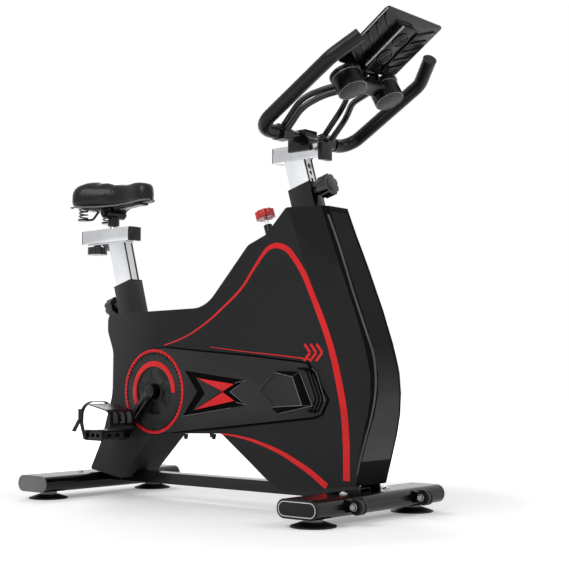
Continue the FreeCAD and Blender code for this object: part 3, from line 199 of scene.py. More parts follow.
def dress(material, *nodes):
    """Gives CAD nodes, whose shape stays as it is, a finish."""
    for name in nodes:
        mesh = frame["nodes"][name].data
        mesh.materials.clear()
        mesh.materials.append(material)


def place(bm, name, material, body, crease=32.0):
    """A finished mesh as a named piece that rides on a body."""
    mesh = bpy.data.meshes.new(name)
    bm.to_mesh(mesh)
    bm.free()
    mesh.materials.append(material)
    mesh.shade_smooth()
    mesh.set_sharp_from_angle(angle=math.radians(crease))
    piece = bpy.data.objects.new(name, mesh)
    scene.collection.objects.link(piece)
    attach(piece, body)
    return piece


def bevel_sharp(bm, width, segments, sharp, flat):
    """Joins nearly flat faces of a merged mesh, then rounds its sharp edges over."""
    bmesh.ops.dissolve_limit(bm, angle_limit=math.radians(flat), verts=bm.verts, edges=bm.edges)
    edges = [e for e in bm.edges if len(e.link_faces) == 2 and e.calc_face_angle(0.0) > math.radians(sharp)]
    bmesh.ops.bevel(bm, geom=edges, offset=width, offset_type="OFFSET", affect="EDGES", segments=segments,
                    profile=0.5, material=-1, clamp_overlap=True)


def merged(name):
    """A CAD node's mesh with its loose triangles joined."""
    bm = bmesh.new()
    bm.from_mesh(frame["nodes"][name].data)
    bmesh.ops.remove_doubles(bm, verts=bm.verts, dist=0.002 * MM)
    return bm


def eased(name, width, material, segments=2):
    """Stands for a CAD node: the same shape, with its sharp edges rounded over."""
    bm = merged(name)
    bevel_sharp(bm, width, segments, 32.0, 0.6)
    piece = place(bm, name + "_shape", material, body_of_node[name])
    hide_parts(name)
    return piece


powder_coat = finish("powder_coat", (7, 7, 8), (13, 13, 14), 0.2, 900.0, 0.00010, Specular_IOR_Level=0.22,
                     Coat_Weight=0.12, Coat_Roughness=0.1)
moulded_black = finish("moulded_black", (10, 10, 11), (19, 19, 20), 0.34, 1600.0, 0.00010,
                       Specular_IOR_Level=0.24)
# light greys for thin lines and rims whose colour is a painted highlight on an edge
bright_painted_highlight = finish("bright_painted_highlight", (196, 196, 198), (224, 224, 226), 0.3, 900.0, 0.00005,
                     Specular_IOR_Level=0.5)
grey_painted_highlight = finish("grey_painted_highlight", (96, 96, 98), (136, 136, 138), 0.3, 1400.0, 0.00005, Specular_IOR_Level=0.4)
moulded_grey = finish("moulded_grey", (104, 104, 106), (122, 122, 124), 0.5, 1500.0, 0.00010)
dress(powder_coat, "front_floor_bar", "rear_floor_bar", "base_rail")
eased("rear_end_caps", 1.6 * MM, moulded_grey, segments=3)
eased("front_end_caps", 1.6 * MM, moulded_black, segments=3)

RIM_INSET = 5 * MM
RIM_WIDTH = 2 * MM
RIM_RISE = 0.4 * MM


def end_rim(name, node_name, side, material):
    """A thin raised line just inside the edge of a flat-oval end cap, light as a painted highlight on the
    cap's edge.
    """
    low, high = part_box(node_name)
    across, tall = (high.x - low.x) / 2 - RIM_INSET, (high.z - low.z) / 2 - RIM_INSET
    centre = (low + high) / 2
    face_y = high.y if side > 0 else low.y
    bm = bmesh.new()
    for inset in (0.0, RIM_WIDTH):
        for vert in bmesh.ops.create_circle(bm, cap_ends=False, radius=1.0, segments=48)["verts"]:
            c, s = vert.co.x, vert.co.y
            straight = math.copysign(across - tall, c) if abs(c) > 1e-4 else 0.0
            vert.co = Vector((centre.x + straight + (tall - inset) * c, face_y + side * RIM_RISE,
                              centre.z + (tall - inset) * s))
    rim = bmesh.ops.bridge_loops(bm, edges=bm.edges[:])["faces"]
    grown = bmesh.ops.extrude_face_region(bm, geom=rim, use_keep_orig=True)["geom"]
    bmesh.ops.translate(bm, verts=verts_in(grown), vec=(0.0, -side * MM, 0.0))
    bmesh.ops.recalc_face_normals(bm, faces=bm.faces)
    return place(bm, name, material, "frame")


for side, side_name in SIDES:
    end_rim("front_cap_rim_" + side_name, "front_end_caps", side, bright_painted_highlight)
    end_rim("rear_cap_rim_" + side_name, "rear_end_caps", side, grey_painted_highlight)

zinc = finish("zinc_plate", (190, 190, 190), (222, 222, 220), 0.24, 700.0, 0.00006, Metallic=1.0)
dress(zinc, "floor_bar_bolts")

# ---- levelling feet and transport wheels ---------------------------------------------
# Each foot is a low cone of hard rubber under a pale threaded collar; four carry the machine.
# Two small rubber-tyred wheels sit in welded ears on the front bar, on zinc-plated bolts.

foot_rubber = finish("foot_rubber", (9, 9, 9), (17, 17, 17), 0.5, 1100.0, 0.00014, Specular_IOR_Level=0.25)
collar_plastic = finish("collar_plastic", (150, 150, 150), (172, 172, 172), 0.45, 1200.0, 0.00008)


def ring_about(bm, centre, way, outer, inner, height, segments=48):
    """A flat ring whose lower face is centred on a point, standing along a direction."""
    turn = Vector(way).normalized().to_track_quat("Z", "Y").to_matrix().to_4x4()
    made = bmesh.ops.create_circle(bm, cap_ends=False, radius=outer, segments=segments,
                                   matrix=Matrix.Translation(centre) @ turn)
    outline = list({e for v in made["verts"] for e in v.link_edges})
    rise = Vector(way).normalized() * height
    wall = bmesh.ops.extrude_edge_only(bm, edges=outline)["geom"]
    bmesh.ops.translate(bm, verts=verts_in(wall), vec=rise)
    top = bmesh.ops.extrude_edge_only(bm, edges=edges_in(wall))["geom"]
    top_centre = Vector(centre) + rise
    for vert in verts_in(top):
        vert.co = top_centre + (vert.co - top_centre) * (inner / outer)
    bore = bmesh.ops.extrude_edge_only(bm, edges=edges_in(top))["geom"]
    bmesh.ops.translate(bm, verts=verts_in(bore), vec=-rise)
    bmesh.ops.bridge_loops(bm, edges=outline + edges_in(bore))
    bmesh.ops.recalc_face_normals(bm, faces=bm.faces)


COLLAR_RISE = 12.4 * MM
COLLAR_OUTER = 23 * MM
COLLAR_INNER = 20.3 * MM
COLLAR_HEIGHT = 7 * MM
for end in ("front", "rear"):
    for _, side_name in SIDES:
        foot = "foot_%s_%s" % (end, side_name)
        eased(foot, 0.8 * MM, foot_rubber)
        foot_low, foot_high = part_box(foot)
        foot_middle = (foot_low + foot_high) / 2
        collar = bmesh.new()
        ring_about(collar, (foot_middle.x, foot_middle.y, foot_low.z + COLLAR_RISE), (0, 0, 1), COLLAR_OUTER,
                   COLLAR_INNER, COLLAR_HEIGHT)
        place(collar, foot + "_collar", collar_plastic, foot)

tyre_rubber = finish("tyre_rubber", (10, 10, 10), (18, 18, 18), 0.4, 900.0, 0.00012, Specular_IOR_Level=0.3)
zinc_bright = finish("zinc_bright", (205, 205, 205), (232, 232, 230), 0.34, 700.0, 0.00005, Metallic=0.6,
                     Specular_IOR_Level=0.6)
QUARTER_TURN = Matrix.Rotation(math.radians(90), 4, "X")
EAR_THICKNESS = 7.5 * MM
WASHER_RADIUS = 9.0 * MM
WASHER_DEPTH = 2 * MM
BOLT_RADIUS = 6.6 * MM
BOLT_DEPTH = 5 * MM
for _, side_name in SIDES:
    eased("transport_wheel_" + side_name, 0.8 * MM, tyre_rubber)
eased("wheel_brackets", 0.8 * MM, powder_coat)


def stub(bm, centre, radius, depth, sides):
    """A round or hexagonal stub lying across the machine."""
    bmesh.ops.create_cone(bm, cap_ends=True, segments=sides, radius1=radius, radius2=radius, depth=depth,
                          matrix=Matrix.Translation(centre) @ QUARTER_TURN)


for _, side_name in SIDES:
    wheel_low, wheel_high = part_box("transport_wheel_" + side_name)
    hub = (wheel_low + wheel_high) / 2
    bolt = bmesh.new()
    for outward, ear_y in ((-1, wheel_low.y - EAR_THICKNESS), (1, wheel_high.y + EAR_THICKNESS)):
        stub(bolt, (hub.x, ear_y, hub.z), WASHER_RADIUS, WASHER_DEPTH, 32)
        stub(bolt, (hub.x, ear_y + outward * 3 * MM, hub.z), BOLT_RADIUS, BOLT_DEPTH, 6)
    place(bolt, "wheel_bolt_" + side_name, zinc_bright, "frame")

# ---- welded frame inside the covers --------------------------------------------------
# Square sleeves for the two posts, a spine, the bottom bracket and the fork are welded steel.
# Only the sleeve mouths show above the covers; the flywheel, belt and pulleys run inside.

cast_iron = finish("cast_iron", (52, 52, 54), (86, 86, 88), 0.45, 500.0, 0.00020, Metallic=0.7)
belt_rubber = finish("belt_rubber", (12, 12, 12), (20, 20, 20), 0.7, 1400.0, 0.00015)
dress(powder_coat, "spine_tube", "bottom_bracket", "rear_leg", "fork", "brake_tube")
dress(zinc, "crank_bearings", "crank_axle")
dress(cast_iron, "flywheel")
dress(moulded_black, "drive_pulley", "post_bushings")
dress(belt_rubber, "drive_belt")
eased("seat_sleeve", 1.2 * MM, powder_coat)
eased("head_sleeve", 1.2 * MM, powder_coat)

# ---- covers over the flywheel --------------------------------------------------------
# Two charcoal shells moulded in satin plastic meet on the centre line, and a near-black panel
# closes the front between their ridges. Red inlays follow the arch and the lower edge.

shroud_satin = finish("shroud_satin", (42, 42, 44), (50, 50, 51), 0.44, 2600.0, 0.00007, tone_scale=2.5,
                      Specular_IOR_Level=0.03)
front_black = finish("front_black", (8, 8, 8), (13, 13, 13), 0.3, 2200.0, 0.00005, tone_scale=3.0,
                     Specular_IOR_Level=0.05)


def shade_by(material, mask_of, factor):
    """Paints light or shade into a finish: multiplies its colour by a factor where a mask is 1, and leaves it
    where it is 0.
    """
    tree = material.node_tree
    shader = tree.nodes["Principled BSDF"]
    colour = shader.inputs["Base Color"].links[0].from_socket
    share = node(tree, "MapRange", {"Value": mask_of(tree), "To Min": 1.0, "To Max": factor})
    scaled = node(tree, "VectorMath", {0: colour, "Scale": share.outputs[0]}, operation="SCALE")
    tree.links.new(scaled.outputs["Vector"], shader.inputs["Base Color"])


def taper_painted_shade(tree):
    """1 on the tapering facet between the arch and the front ridge: painted shade, as if the facet were
    turned from the light.
    """
    facing = node(tree, "SeparateXYZ", {0: node(tree, "NewGeometry").outputs["True Normal"]})
    flat = node(tree, "Math", {0: facing.outputs["Y"]}, operation="ABSOLUTE")
    turned = node(tree, "MapRange", {"Value": flat.outputs[0], "From Min": 0.997, "From Max": 0.985})
    where = node(tree, "SeparateXYZ", {0: node(tree, "TexCoord").outputs["Object"]})
    ahead = node(tree, "MapRange", {"Value": where.outputs["X"], "From Min": 0.02, "From Max": 0.06})
    return node(tree, "Math", {0: turned.outputs[0], 1: ahead.outputs[0]}, operation="MULTIPLY").outputs[0]


def rear_painted_light(tree):
    """1 at the rear of the shell, painted lighter as if it took more of the light, falling to 0 at the crank.
    """
    where = node(tree, "SeparateXYZ", {0: node(tree, "TexCoord").outputs["Object"]})
    share = node(tree, "MapRange", {"Value": where.outputs["X"], "From Min": -0.22, "From Max": -0.42})
    return share.outputs[0]


def low_painted_light(tree):
    """1 at the bottom of the front panel, where painted light lifts its colour, falling to 0 a hand's width
    up.
    """
    where = node(tree, "SeparateXYZ", {0: node(tree, "TexCoord").outputs["Object"]})
    share = node(tree, "MapRange", {"Value": where.outputs["Z"], "From Min": 0.42, "From Max": 0.12})
    return share.outputs[0]


# painted shade: the tapering facet of the shell darkened
shade_by(shroud_satin, taper_painted_shade, 0.16)
# painted light: the rear of the shell lightened
shade_by(shroud_satin, rear_painted_light, 1.9)
# painted light: the bottom of the front panel lightened
shade_by(front_black, low_painted_light, 24.0)
inlay_red = finish("inlay_red", (216, 28, 32), (238, 42, 46), 0.34, 1800.0, 0.00005, Specular_IOR_Level=0.2)
dress(shroud_satin, "shroud_right", "shroud_left")
dress(front_black, "front_cover")

axle_low, axle_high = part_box("crank_axle")
crank_centre = (axle_low + axle_high) / 2


def curve_through(points, samples):
    """Evenly numbered stations on a smooth curve through points of any dimension."""
    stations = []
    spans = len(points) - 1
    for i in range(samples + 1):
        reached = min(i / samples * spans, spans - 1e-9)
        k = int(reached)
        t = reached - k
        before, here, ahead, beyond = (Vector(points[max(0, min(spans, k + o))]) for o in (-1, 0, 1, 2))
        linear = (ahead - before) * t
        square = (2 * before - 5 * here + 4 * ahead - beyond) * t ** 2
        cube = (3 * here - before - 3 * ahead + beyond) * t ** 3
        stations.append(0.5 * (2 * here + linear + square + cube))
    return stations


# rays start well outside the machine; where one misses, an inlay takes the shell's usual half width
RAY_START = 300 * MM
SHELL_HALF = 62 * MM


def shell_tree(name):
    """A CAD node's faces, ready for rays."""
    mesh = frame["nodes"][name].data
    return BVHTree.FromPolygons([v.co for v in mesh.vertices], [p.vertices for p in mesh.polygons])


def on_shell(tree, x, z, side):
    """The point of a shell's outer face at (x, z), and the way out of it."""
    hit, normal, _, _ = tree.ray_cast(Vector((x, side * RAY_START, z)), Vector((0, -side, 0)))
    if hit is None:
        return None, None
    return hit, normal if normal.y * side > 0 else -normal


# an inlay stands proud of the shell, with its edges let down to it
INLAY_RISE = 0.5 * MM
INLAY_EDGE_RISE = 0.15 * MM


def inlay(name, side, tree, centre_line, samples):
    """A band laid in the shell: stations of (x, z, width) in millimetres from the crank axle."""
    stations = curve_through(centre_line, samples)
    bm = bmesh.new()
    bmesh.ops.create_grid(bm, x_segments=samples, y_segments=4, size=1.0)
    for vert in bm.verts:
        k = round((vert.co.x + 1) / 2 * samples)
        share = vert.co.y / 2
        here = stations[k]
        ahead = stations[min(k + 1, samples)] - stations[max(k - 1, 0)]
        way = Vector((ahead.x, ahead.y)).normalized()
        x = crank_centre.x + (here.x - way.y * share * here.z) * MM
        z = crank_centre.z + (here.y + way.x * share * here.z) * MM
        hit, out = on_shell(tree, x, z, side)
        if hit is None:
            hit, out = Vector((x, side * SHELL_HALF, z)), Vector((0, side, 0))
        vert.co = hit + out * (INLAY_RISE if abs(share) < 0.49 else INLAY_EDGE_RISE)
    bmesh.ops.recalc_face_normals(bm, faces=bm.faces)
    if sum(f.normal.y for f in bm.faces) * side < 0:
        bmesh.ops.reverse_faces(bm, faces=bm.faces)
    bmesh.ops.solidify(bm, geom=bm.faces, thickness=0.5 * MM)
    return place(bm, name, inlay_red, "frame", crease=60.0)


ARCH = [(36, 126, 3), (117, 148, 4), (195, 184, 5), (257, 223, 6), (319, 268, 7), (359, 313, 8),
        (392, 350, 10), (417, 369, 12), (447, 372, 14), (478, 359, 15), (506, 329, 15), (534, 289, 16),
        (555, 246, 16), (579, 197, 17), (609, 127, 17), (632, 54, 18), (652, -38, 19), (659, -111, 20),
        (660, -147, 20), (660, -205, 20)]
LOWER_EDGE = [(246, -107, 3), (299, -111, 5), (353, -119, 7), (406, -132, 9), (455, -147, 11),
              (506, -169, 13), (554, -193, 15), (600, -222, 16)]
FINE_LINE = [(210, 119, 1.5), (330, 106, 2), (449, 95, 2.6), (553, 84, 3.4)]
CHEVRON_STEP = 19.0
chevrons = [[(530 + move, 80, 7), (550 + move, 101, 7), (532 + move, 122, 7)]
            for move in (0.0, CHEVRON_STEP, 2 * CHEVRON_STEP)]
for side, side_name in SIDES:
    shell = shell_tree("shroud_" + side_name)
    inlay("arch_inlay_" + side_name, side, shell, ARCH, 150)
    inlay("edge_inlay_" + side_name, side, shell, LOWER_EDGE, 60)
    inlay("fine_inlay_" + side_name, side, shell, FINE_LINE, 60)
    for i, (start, tip, end) in enumerate(chevrons):
        for half_name, points in (("low", (start, tip)), ("high", (tip, end))):
            inlay("chevron_%d_%s_%s" % (i + 1, half_name, side_name), side, shell, points, 8)

# stations down the ridge beside the front panel: place along the machine, half width, height. A grey line
# laid along them is a painted highlight on the ridge's chamfer.
RIDGE = [(362.4, 38, 740), (379.4, 39, 700), (400.4, 41, 650), (420.4, 44, 600), (439.4, 46, 550),
         (459.4, 45, 500), (478.4, 43, 450), (496.4, 43, 400), (506.4, 45, 350), (507.4, 47, 300),
         (500.4, 54, 250), (487.4, 62, 200), (472.4, 66, 150), (461.4, 67, 110)]
RIDGE_SAMPLES = 90
RIDGE_HALF_LINE = 2.0
ridge_highlight_and_dot_grey = finish("ridge_highlight_and_dot_grey", (60, 60, 62), (84, 84, 86), 0.3, 1400.0, 0.00005, Specular_IOR_Level=0.3)
ridge_stations = curve_through(RIDGE, RIDGE_SAMPLES)
for side, side_name in SIDES:
    shell = shell_tree("shroud_" + side_name)
    ridge_bm = bmesh.new()
    bmesh.ops.create_grid(ridge_bm, x_segments=RIDGE_SAMPLES, y_segments=2, size=1.0)
    for vert in ridge_bm.verts:
        x, half, z = ridge_stations[round((vert.co.x + 1) / 2 * RIDGE_SAMPLES)]
        x += vert.co.y * RIDGE_HALF_LINE
        hit, out = on_shell(shell, x * MM, z * MM, side)
        if hit is None:
            hit, out = Vector((x * MM, side * half * MM, z * MM)), Vector((0.6, side * 0.8, 0))
        vert.co = hit + out * (0.4 * MM)
    bmesh.ops.recalc_face_normals(ridge_bm, faces=ridge_bm.faces)
    bmesh.ops.solidify(ridge_bm, geom=ridge_bm.faces, thickness=0.4 * MM)
    place(ridge_bm, "ridge_highlight_line_" + side_name, ridge_highlight_and_dot_grey, "frame", crease=60.0)

# ---- belt covers with the crank disc -------------------------------------------------
# A thick moulded plate on each side with a dial round the crank, a bow-tie recess with red
# inlays and a hexagonal boss behind stepped ribs. It screws to the shell.

cover_black = finish("cover_black", (38, 38, 40), (47, 47, 48), 0.38, 2400.0, 0.00006, tone_scale=4.0,
                     Specular_IOR_Level=0.14)
# near black for the dial's printed ticks and rings, the bow-tie floor and the ribs, and for the painted
# shadow and shade round the plate and on the boss
print_and_shade_black = finish("print_and_shade_black", (3, 3, 3), (7, 7, 7), 0.4, 2000.0, 0.00006, Specular_IOR_Level=0.02)

# outlines in millimetres from the crank axle, forward and up; the disc's edge runs between two angles
DISC_RADIUS = 116.3
DISC_START = 84
DISC_END = 272
GAP = 1.5
PLATE_TOP = [(586, -49), (605, -14), (542, 74), (354, 93), (175, 107), (40, 119)]
PLATE_LOW = [(285, -86), (561, -56)]
GAP_TOP = [(592, -50), (610, -13), (546, 78), (354, 97.5), (175, 111.5), (40, 123)]
GAP_LOW = [(285, -92), (565, -61)]
BOW_TIE = [(119, 57), (341, 32), (286, 2), (342, -31), (111, -66), (166, 1)]
TIE_ARROW = [(158, 41), (256, 2), (147, -51), (194, -3)]
TIE_REDS = [[(166, 37), (298, 22), (258, 2.5)], [(258, 0.5), (300, -21), (157, -47)]]
BOSS_FOOT = [(380, 8), (440, 61), (526, 57), (568, -30), (454, -53), (429, -39)]
BOSS_TOP = [(384, 8), (441, 58), (523, 54), (564, -29), (454, -50), (431, -38)]
SCOOP_FLOOR = [(394, 8), (446, 50), (497, 38), (525, -25), (456, -38), (439, -31)]
SCOOP_MOUTH = [(391, 8), (444, 53), (500, 41), (529, -28), (456, -41), (436, -33)]
BOSS_FRONT = [(502, 41), (523, 53), (562, -28), (531, -27)]
BOSS_LOW = [(438, -36), (531, -30), (560, -31), (455, -50), (433, -39)]
BOSS_HIGH = [(447, 53), (499, 43), (519, 54), (444, 57)]
RIB_TOP = [(536, 63), (556, 60), (566, 54), (592, -6), (592, -18)]
RIB_FOOT = [(580, -40), (566, -46)]
RIB_STEP = 11

# distances from the centre plane in millimetres
PLATE_BACK = 63.8
PLATE_FACE = 69.0
TIE_DEPTH = 65.4
DISH_DEPTH = 65.6
BOSS_BACK = 66
BOSS_FACE = 72.5
DIAL_BACK = 68.4
SCOOP_DEPTH = 70.0
CLEAR = 80

# radii of the dial round the crank in millimetres, and the angles of its red band
DIAL_HOLE = 22
DISH_RADIUS = 67
RING_OUTER = 115.6
RING_INNER = 107.6
BAND_OUTER = 83
BAND_INNER = 68.5
BAND_START = -2
BAND_END = 208
TICK_OUTER = 112.5
TICK_INNER = 103
LONG_TICK_INNER = 99.5
HALF_TICK = 0.35
PAD_OUTER = 63
PAD_INNER = 33

# painted highlights where edges catch the light: open lines with a width and two distances from the centre
# plane
HIGHLIGHT_LINES = [
    ([(444, 52), (500, 41), (530, -28), (437, -34)], 1.3, 72.2, 73.5),
    ([(523, 54), (563, -29), (455, -50)], 1.0, 72.2, 73.2),
    ([(541, 64), (561, 61), (572, 53), (597, -7), (597, -18)], 1.0, 68.8, 69.6),
    ([(303, 25), (341, 32), (286, 2), (342, -31), (306, -24)], 1.3, 68.8, 69.6),
    ([(112, -65), (290, -39)], 1.0, 68.8, 69.5),
]


def arc(radius, start, end, steps):
    """Points round the crank axle from one angle in degrees to another."""
    angles = [math.radians(start + (end - start) * i / steps) for i in range(steps + 1)]
    return [(radius * math.cos(a), radius * math.sin(a)) for a in angles]


def round_outline(radius, count):
    """Points all round the crank axle."""
    return arc(radius, 0, 360 - 360 / count, count - 1)


def shift(points, side, depth):
    """Points in millimetres from the crank axle, set at a distance from the centre plane."""
    return [Vector((crank_centre.x + x * MM, side * depth * MM, crank_centre.z + z * MM)) for x, z in points]


def sorted_like(verts, points):
    """The vertices in the order of the outline's points."""
    order = []
    for x, z in points:
        spot = Vector((crank_centre.x + x * MM, crank_centre.z + z * MM))
        order.append(min(verts, key=lambda v: (Vector((v.co.x, v.co.z)) - spot).length))
    return order


def prism(bm, points, side, near, far, taper=None):
    """A closed slab over an outline, between two distances from the centre plane."""
    face = bm.faces.new([bm.verts.new(p) for p in shift(points, side, near)])
    tops = verts_in(bmesh.ops.extrude_face_region(bm, geom=[face], use_keep_orig=True)["geom"])
    for vert in tops:
        vert.co.y = side * far * MM
    if taper:
        for vert, point in zip(sorted_like(tops, points), shift(taper, side, far)):
            vert.co = point
    bmesh.ops.recalc_face_normals(bm, faces=bm.faces)


def outline_line(bm, points, side, width, near, far):
    """A closed raised line just inside an outline."""
    face = bm.faces.new([bm.verts.new(p) for p in shift(points, side, near)])
    face.normal_update()
    rim = bmesh.ops.inset_region(bm, faces=[face], thickness=width * MM)["faces"]
    bmesh.ops.delete(bm, geom=[face], context="FACES_ONLY")
    for vert in verts_in(bmesh.ops.extrude_face_region(bm, geom=rim, use_keep_orig=True)["geom"]):
        vert.co.y = side * far * MM
    bmesh.ops.recalc_face_normals(bm, faces=bm.faces)


def stroke(bm, points, side, width, near, far):
    """An open raised line along points, mitred at its corners."""
    left, right = [], []
    for i, point in enumerate(points):
        here = Vector(point)
        ways = []
        if i:
            ways.append((here - Vector(points[i - 1])).normalized())
        if i < len(points) - 1:
            ways.append((Vector(points[i + 1]) - here).normalized())
        mean = sum(ways, Vector((0, 0))).normalized()
        off = Vector((-mean.y, mean.x)) * (width / 2) / max(0.35, mean.dot(ways[0]))
        left.append(here + off)
        right.append(here - off)
    prism(bm, [tuple(v) for v in left + right[::-1]], side, near, far)


def carve(piece, cutters):
    """Cuts closed meshes out of a piece and drops the cutters."""
    for tool in cutters:
        cut = piece.modifiers.new("cut", "BOOLEAN")
        cut.object = tool
        cut.operation = "DIFFERENCE"
        cut.solver = "EXACT"
    bpy.context.view_layer.update()
    whole = bpy.data.meshes.new_from_object(piece.evaluated_get(bpy.context.evaluated_depsgraph_get()))
    piece.modifiers.clear()
    piece.data = whole
    for tool in cutters:
        bpy.data.objects.remove(tool)


def loose(bm):
    """A mesh that isn't a piece: a cutter, linked only while it is used."""
    mesh = bpy.data.meshes.new("cutter")
    bm.to_mesh(mesh)
    bm.free()
    made = bpy.data.objects.new("cutter", mesh)
    scene.collection.objects.link(made)
    return made


def round_edges(piece, width):
    """Rounds the sharp edges of a finished piece over, in its mesh."""
    bm = bmesh.new()
    bm.from_mesh(piece.data)
    bmesh.ops.remove_doubles(bm, verts=bm.verts, dist=0.01 * MM)
    bevel_sharp(bm, width, 2, 30.0, 0.5)
    bm.to_mesh(piece.data)
    bm.free()
    piece.data.shade_smooth()
    piece.data.set_sharp_from_angle(angle=math.radians(32))


def slabs(name, side, shapes, material, rounding=0.0):
    """A piece of the belt cover made of slabs: an outline and two distances each."""
    bm = bmesh.new()
    for outline, near, far in shapes:
        prism(bm, outline, side, near, far)
    piece = place(bm, name, material, "frame")
    if rounding:
        round_edges(piece, rounding)
    return piece


def cutter(side, outline, near, taper=None):
    """A slab to be carved out, from a depth to well clear of the cover's face."""
    bm = bmesh.new()
    prism(bm, outline, side, near, CLEAR, taper)
    return loose(bm)


plate_outline = arc(DISC_RADIUS, DISC_START, DISC_END, 60) + PLATE_LOW + PLATE_TOP
gap_shadow_outline = arc(DISC_RADIUS + GAP, DISC_START, DISC_END, 60) + GAP_LOW + GAP_TOP
# the recess's dark floor is a hair smaller than the recess
tie_floor = [(x * 0.995 + 1, z * 0.99) for x, z in BOW_TIE]
for side, side_name in SIDES:
    plate = slabs("belt_cover_plate_" + side_name, side, [(plate_outline, PLATE_BACK, PLATE_FACE)],
                  cover_black)
    carve(plate, [cutter(side, BOW_TIE, TIE_DEPTH), cutter(side, round_outline(DISH_RADIUS, 60), DISH_DEPTH),
                  cutter(side, round_outline(DIAL_HOLE, 24), 50)])
    round_edges(plate, 1.1 * MM)
    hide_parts("belt_cover_" + side_name)

    slabs("bow_tie_floor_" + side_name, side, [(tie_floor, 64.6, 65.7)], print_and_shade_black)
    slabs("bow_tie_arrow_" + side_name, side, [(TIE_ARROW, TIE_DEPTH, 67.4)], cover_black, 0.5 * MM)
    slabs("bow_tie_red_" + side_name, side, [(red, TIE_DEPTH, 68.2) for red in TIE_REDS], inlay_red, 0.5 * MM)
    # a black sheet behind the plate, showing past its edge: painted shadow in the gap to the shell
    slabs("cover_gap_shadow_" + side_name, side, [(gap_shadow_outline, 63.6, 64.7)], print_and_shade_black)

    boss_bm = bmesh.new()
    prism(boss_bm, BOSS_FOOT, side, BOSS_BACK, BOSS_FACE, BOSS_TOP)
    boss = place(boss_bm, "cover_boss_" + side_name, cover_black, "frame")
    carve(boss, [cutter(side, SCOOP_FLOOR, SCOOP_DEPTH, SCOOP_MOUTH)])
    round_edges(boss, 0.8 * MM)
    # black strips on the boss's bevels: painted shade on faces turned from the light
    bevels = [(BOSS_FRONT, 71.4, 73.0), (BOSS_LOW, 71.4, 73.0), (BOSS_HIGH, 71.4, 72.9)]
    slabs("boss_bevel_shade_" + side_name, side, bevels, print_and_shade_black, 0.4 * MM)
    ribs_bm = bmesh.new()
    for step in range(3):
        rib = [(x - RIB_STEP * step, z) for x, z in RIB_TOP]
        rib += [(x - RIB_STEP * step, z + step) for x, z in RIB_FOOT]
        stroke(ribs_bm, rib, side, 5.0, 68, 71.0 - 0.5 * step)
    ribs = place(ribs_bm, "cover_ribs_" + side_name, print_and_shade_black, "frame")
    round_edges(ribs, 0.7 * MM)
    # light lines round the boss, along the ribs and on the bow-tie's edges: painted highlights
    cover_highlight_bm = bmesh.new()
    outline_line(cover_highlight_bm, BOSS_FOOT, side, 1.4, 68.8, 69.8)
    for line, width, near, far in HIGHLIGHT_LINES:
        stroke(cover_highlight_bm, line, side, width, near, far)
    place(cover_highlight_bm, "cover_edge_highlights_" + side_name, grey_painted_highlight, "frame")

    dial_bm = bmesh.new()
    dial_centre = (crank_centre.x, side * DIAL_BACK * MM, crank_centre.z)
    ring_about(dial_bm, dial_centre, (0, side, 0), RING_OUTER * MM, RING_INNER * MM, 1.9 * MM, segments=120)
    band = arc(BAND_OUTER, BAND_END, BAND_START, 70) + arc(BAND_INNER, BAND_START, BAND_END, 70)
    prism(dial_bm, band, side, DIAL_BACK, 70.0)
    dial = place(dial_bm, "dial_red_" + side_name, inlay_red, "frame")
    round_edges(dial, 0.4 * MM)
    ticks_bm = bmesh.new()
    for i in range(60):
        angle = 6.0 * i
        inner = TICK_INNER if i % 5 else LONG_TICK_INNER
        tick = arc(TICK_OUTER, angle - HALF_TICK, angle + HALF_TICK, 1)
        tick += arc(inner, angle + HALF_TICK, angle - HALF_TICK, 1)
        prism(ticks_bm, tick, side, 68.6, 70.9)
    for radius in (101, 86.5):
        outline_line(ticks_bm, round_outline(radius, 72), side, 0.9, 68.8, 69.4)
    place(ticks_bm, "dial_ticks_" + side_name, print_and_shade_black, "frame")
    pads = [arc(PAD_OUTER, angle - 24, angle + 24, 12) + arc(PAD_INNER, angle + 20, angle - 20, 8)
            for angle in range(54, 360, 72)]
    slabs("dial_pads_" + side_name, side, [(pad, 65.3, 66.3) for pad in pads], moulded_black, 0.5 * MM)

# screw bosses under the covers: place along the machine and height
SCREW_BOSSES = ((-122.6, 179), (-18.6, 182))
for side, side_name in SIDES:
    screws_bm = bmesh.new()
    for x, z in SCREW_BOSSES:
        bmesh.ops.create_cone(screws_bm, cap_ends=True, segments=24, radius1=4.5 * MM, radius2=7.0 * MM,
                              depth=14 * MM, matrix=Matrix.Translation((x * MM, side * 50 * MM, z * MM)))
    place(screws_bm, "cover_screw_bosses_" + side_name, moulded_black, "frame")

# ---- cranks, pedals, toe cages and straps --------------------------------------------
# Forged arms in satin black on a steel axle, with moulded platform pedals. A nylon toe cage
# is screwed to each platform's front, and a webbing strap goes over the foot to a buckle.

forged_black = finish("forged_black", (7, 7, 8), (13, 13, 14), 0.2, 800.0, 0.00008, Specular_IOR_Level=0.25,
                      Coat_Weight=0.1, Coat_Roughness=0.1)


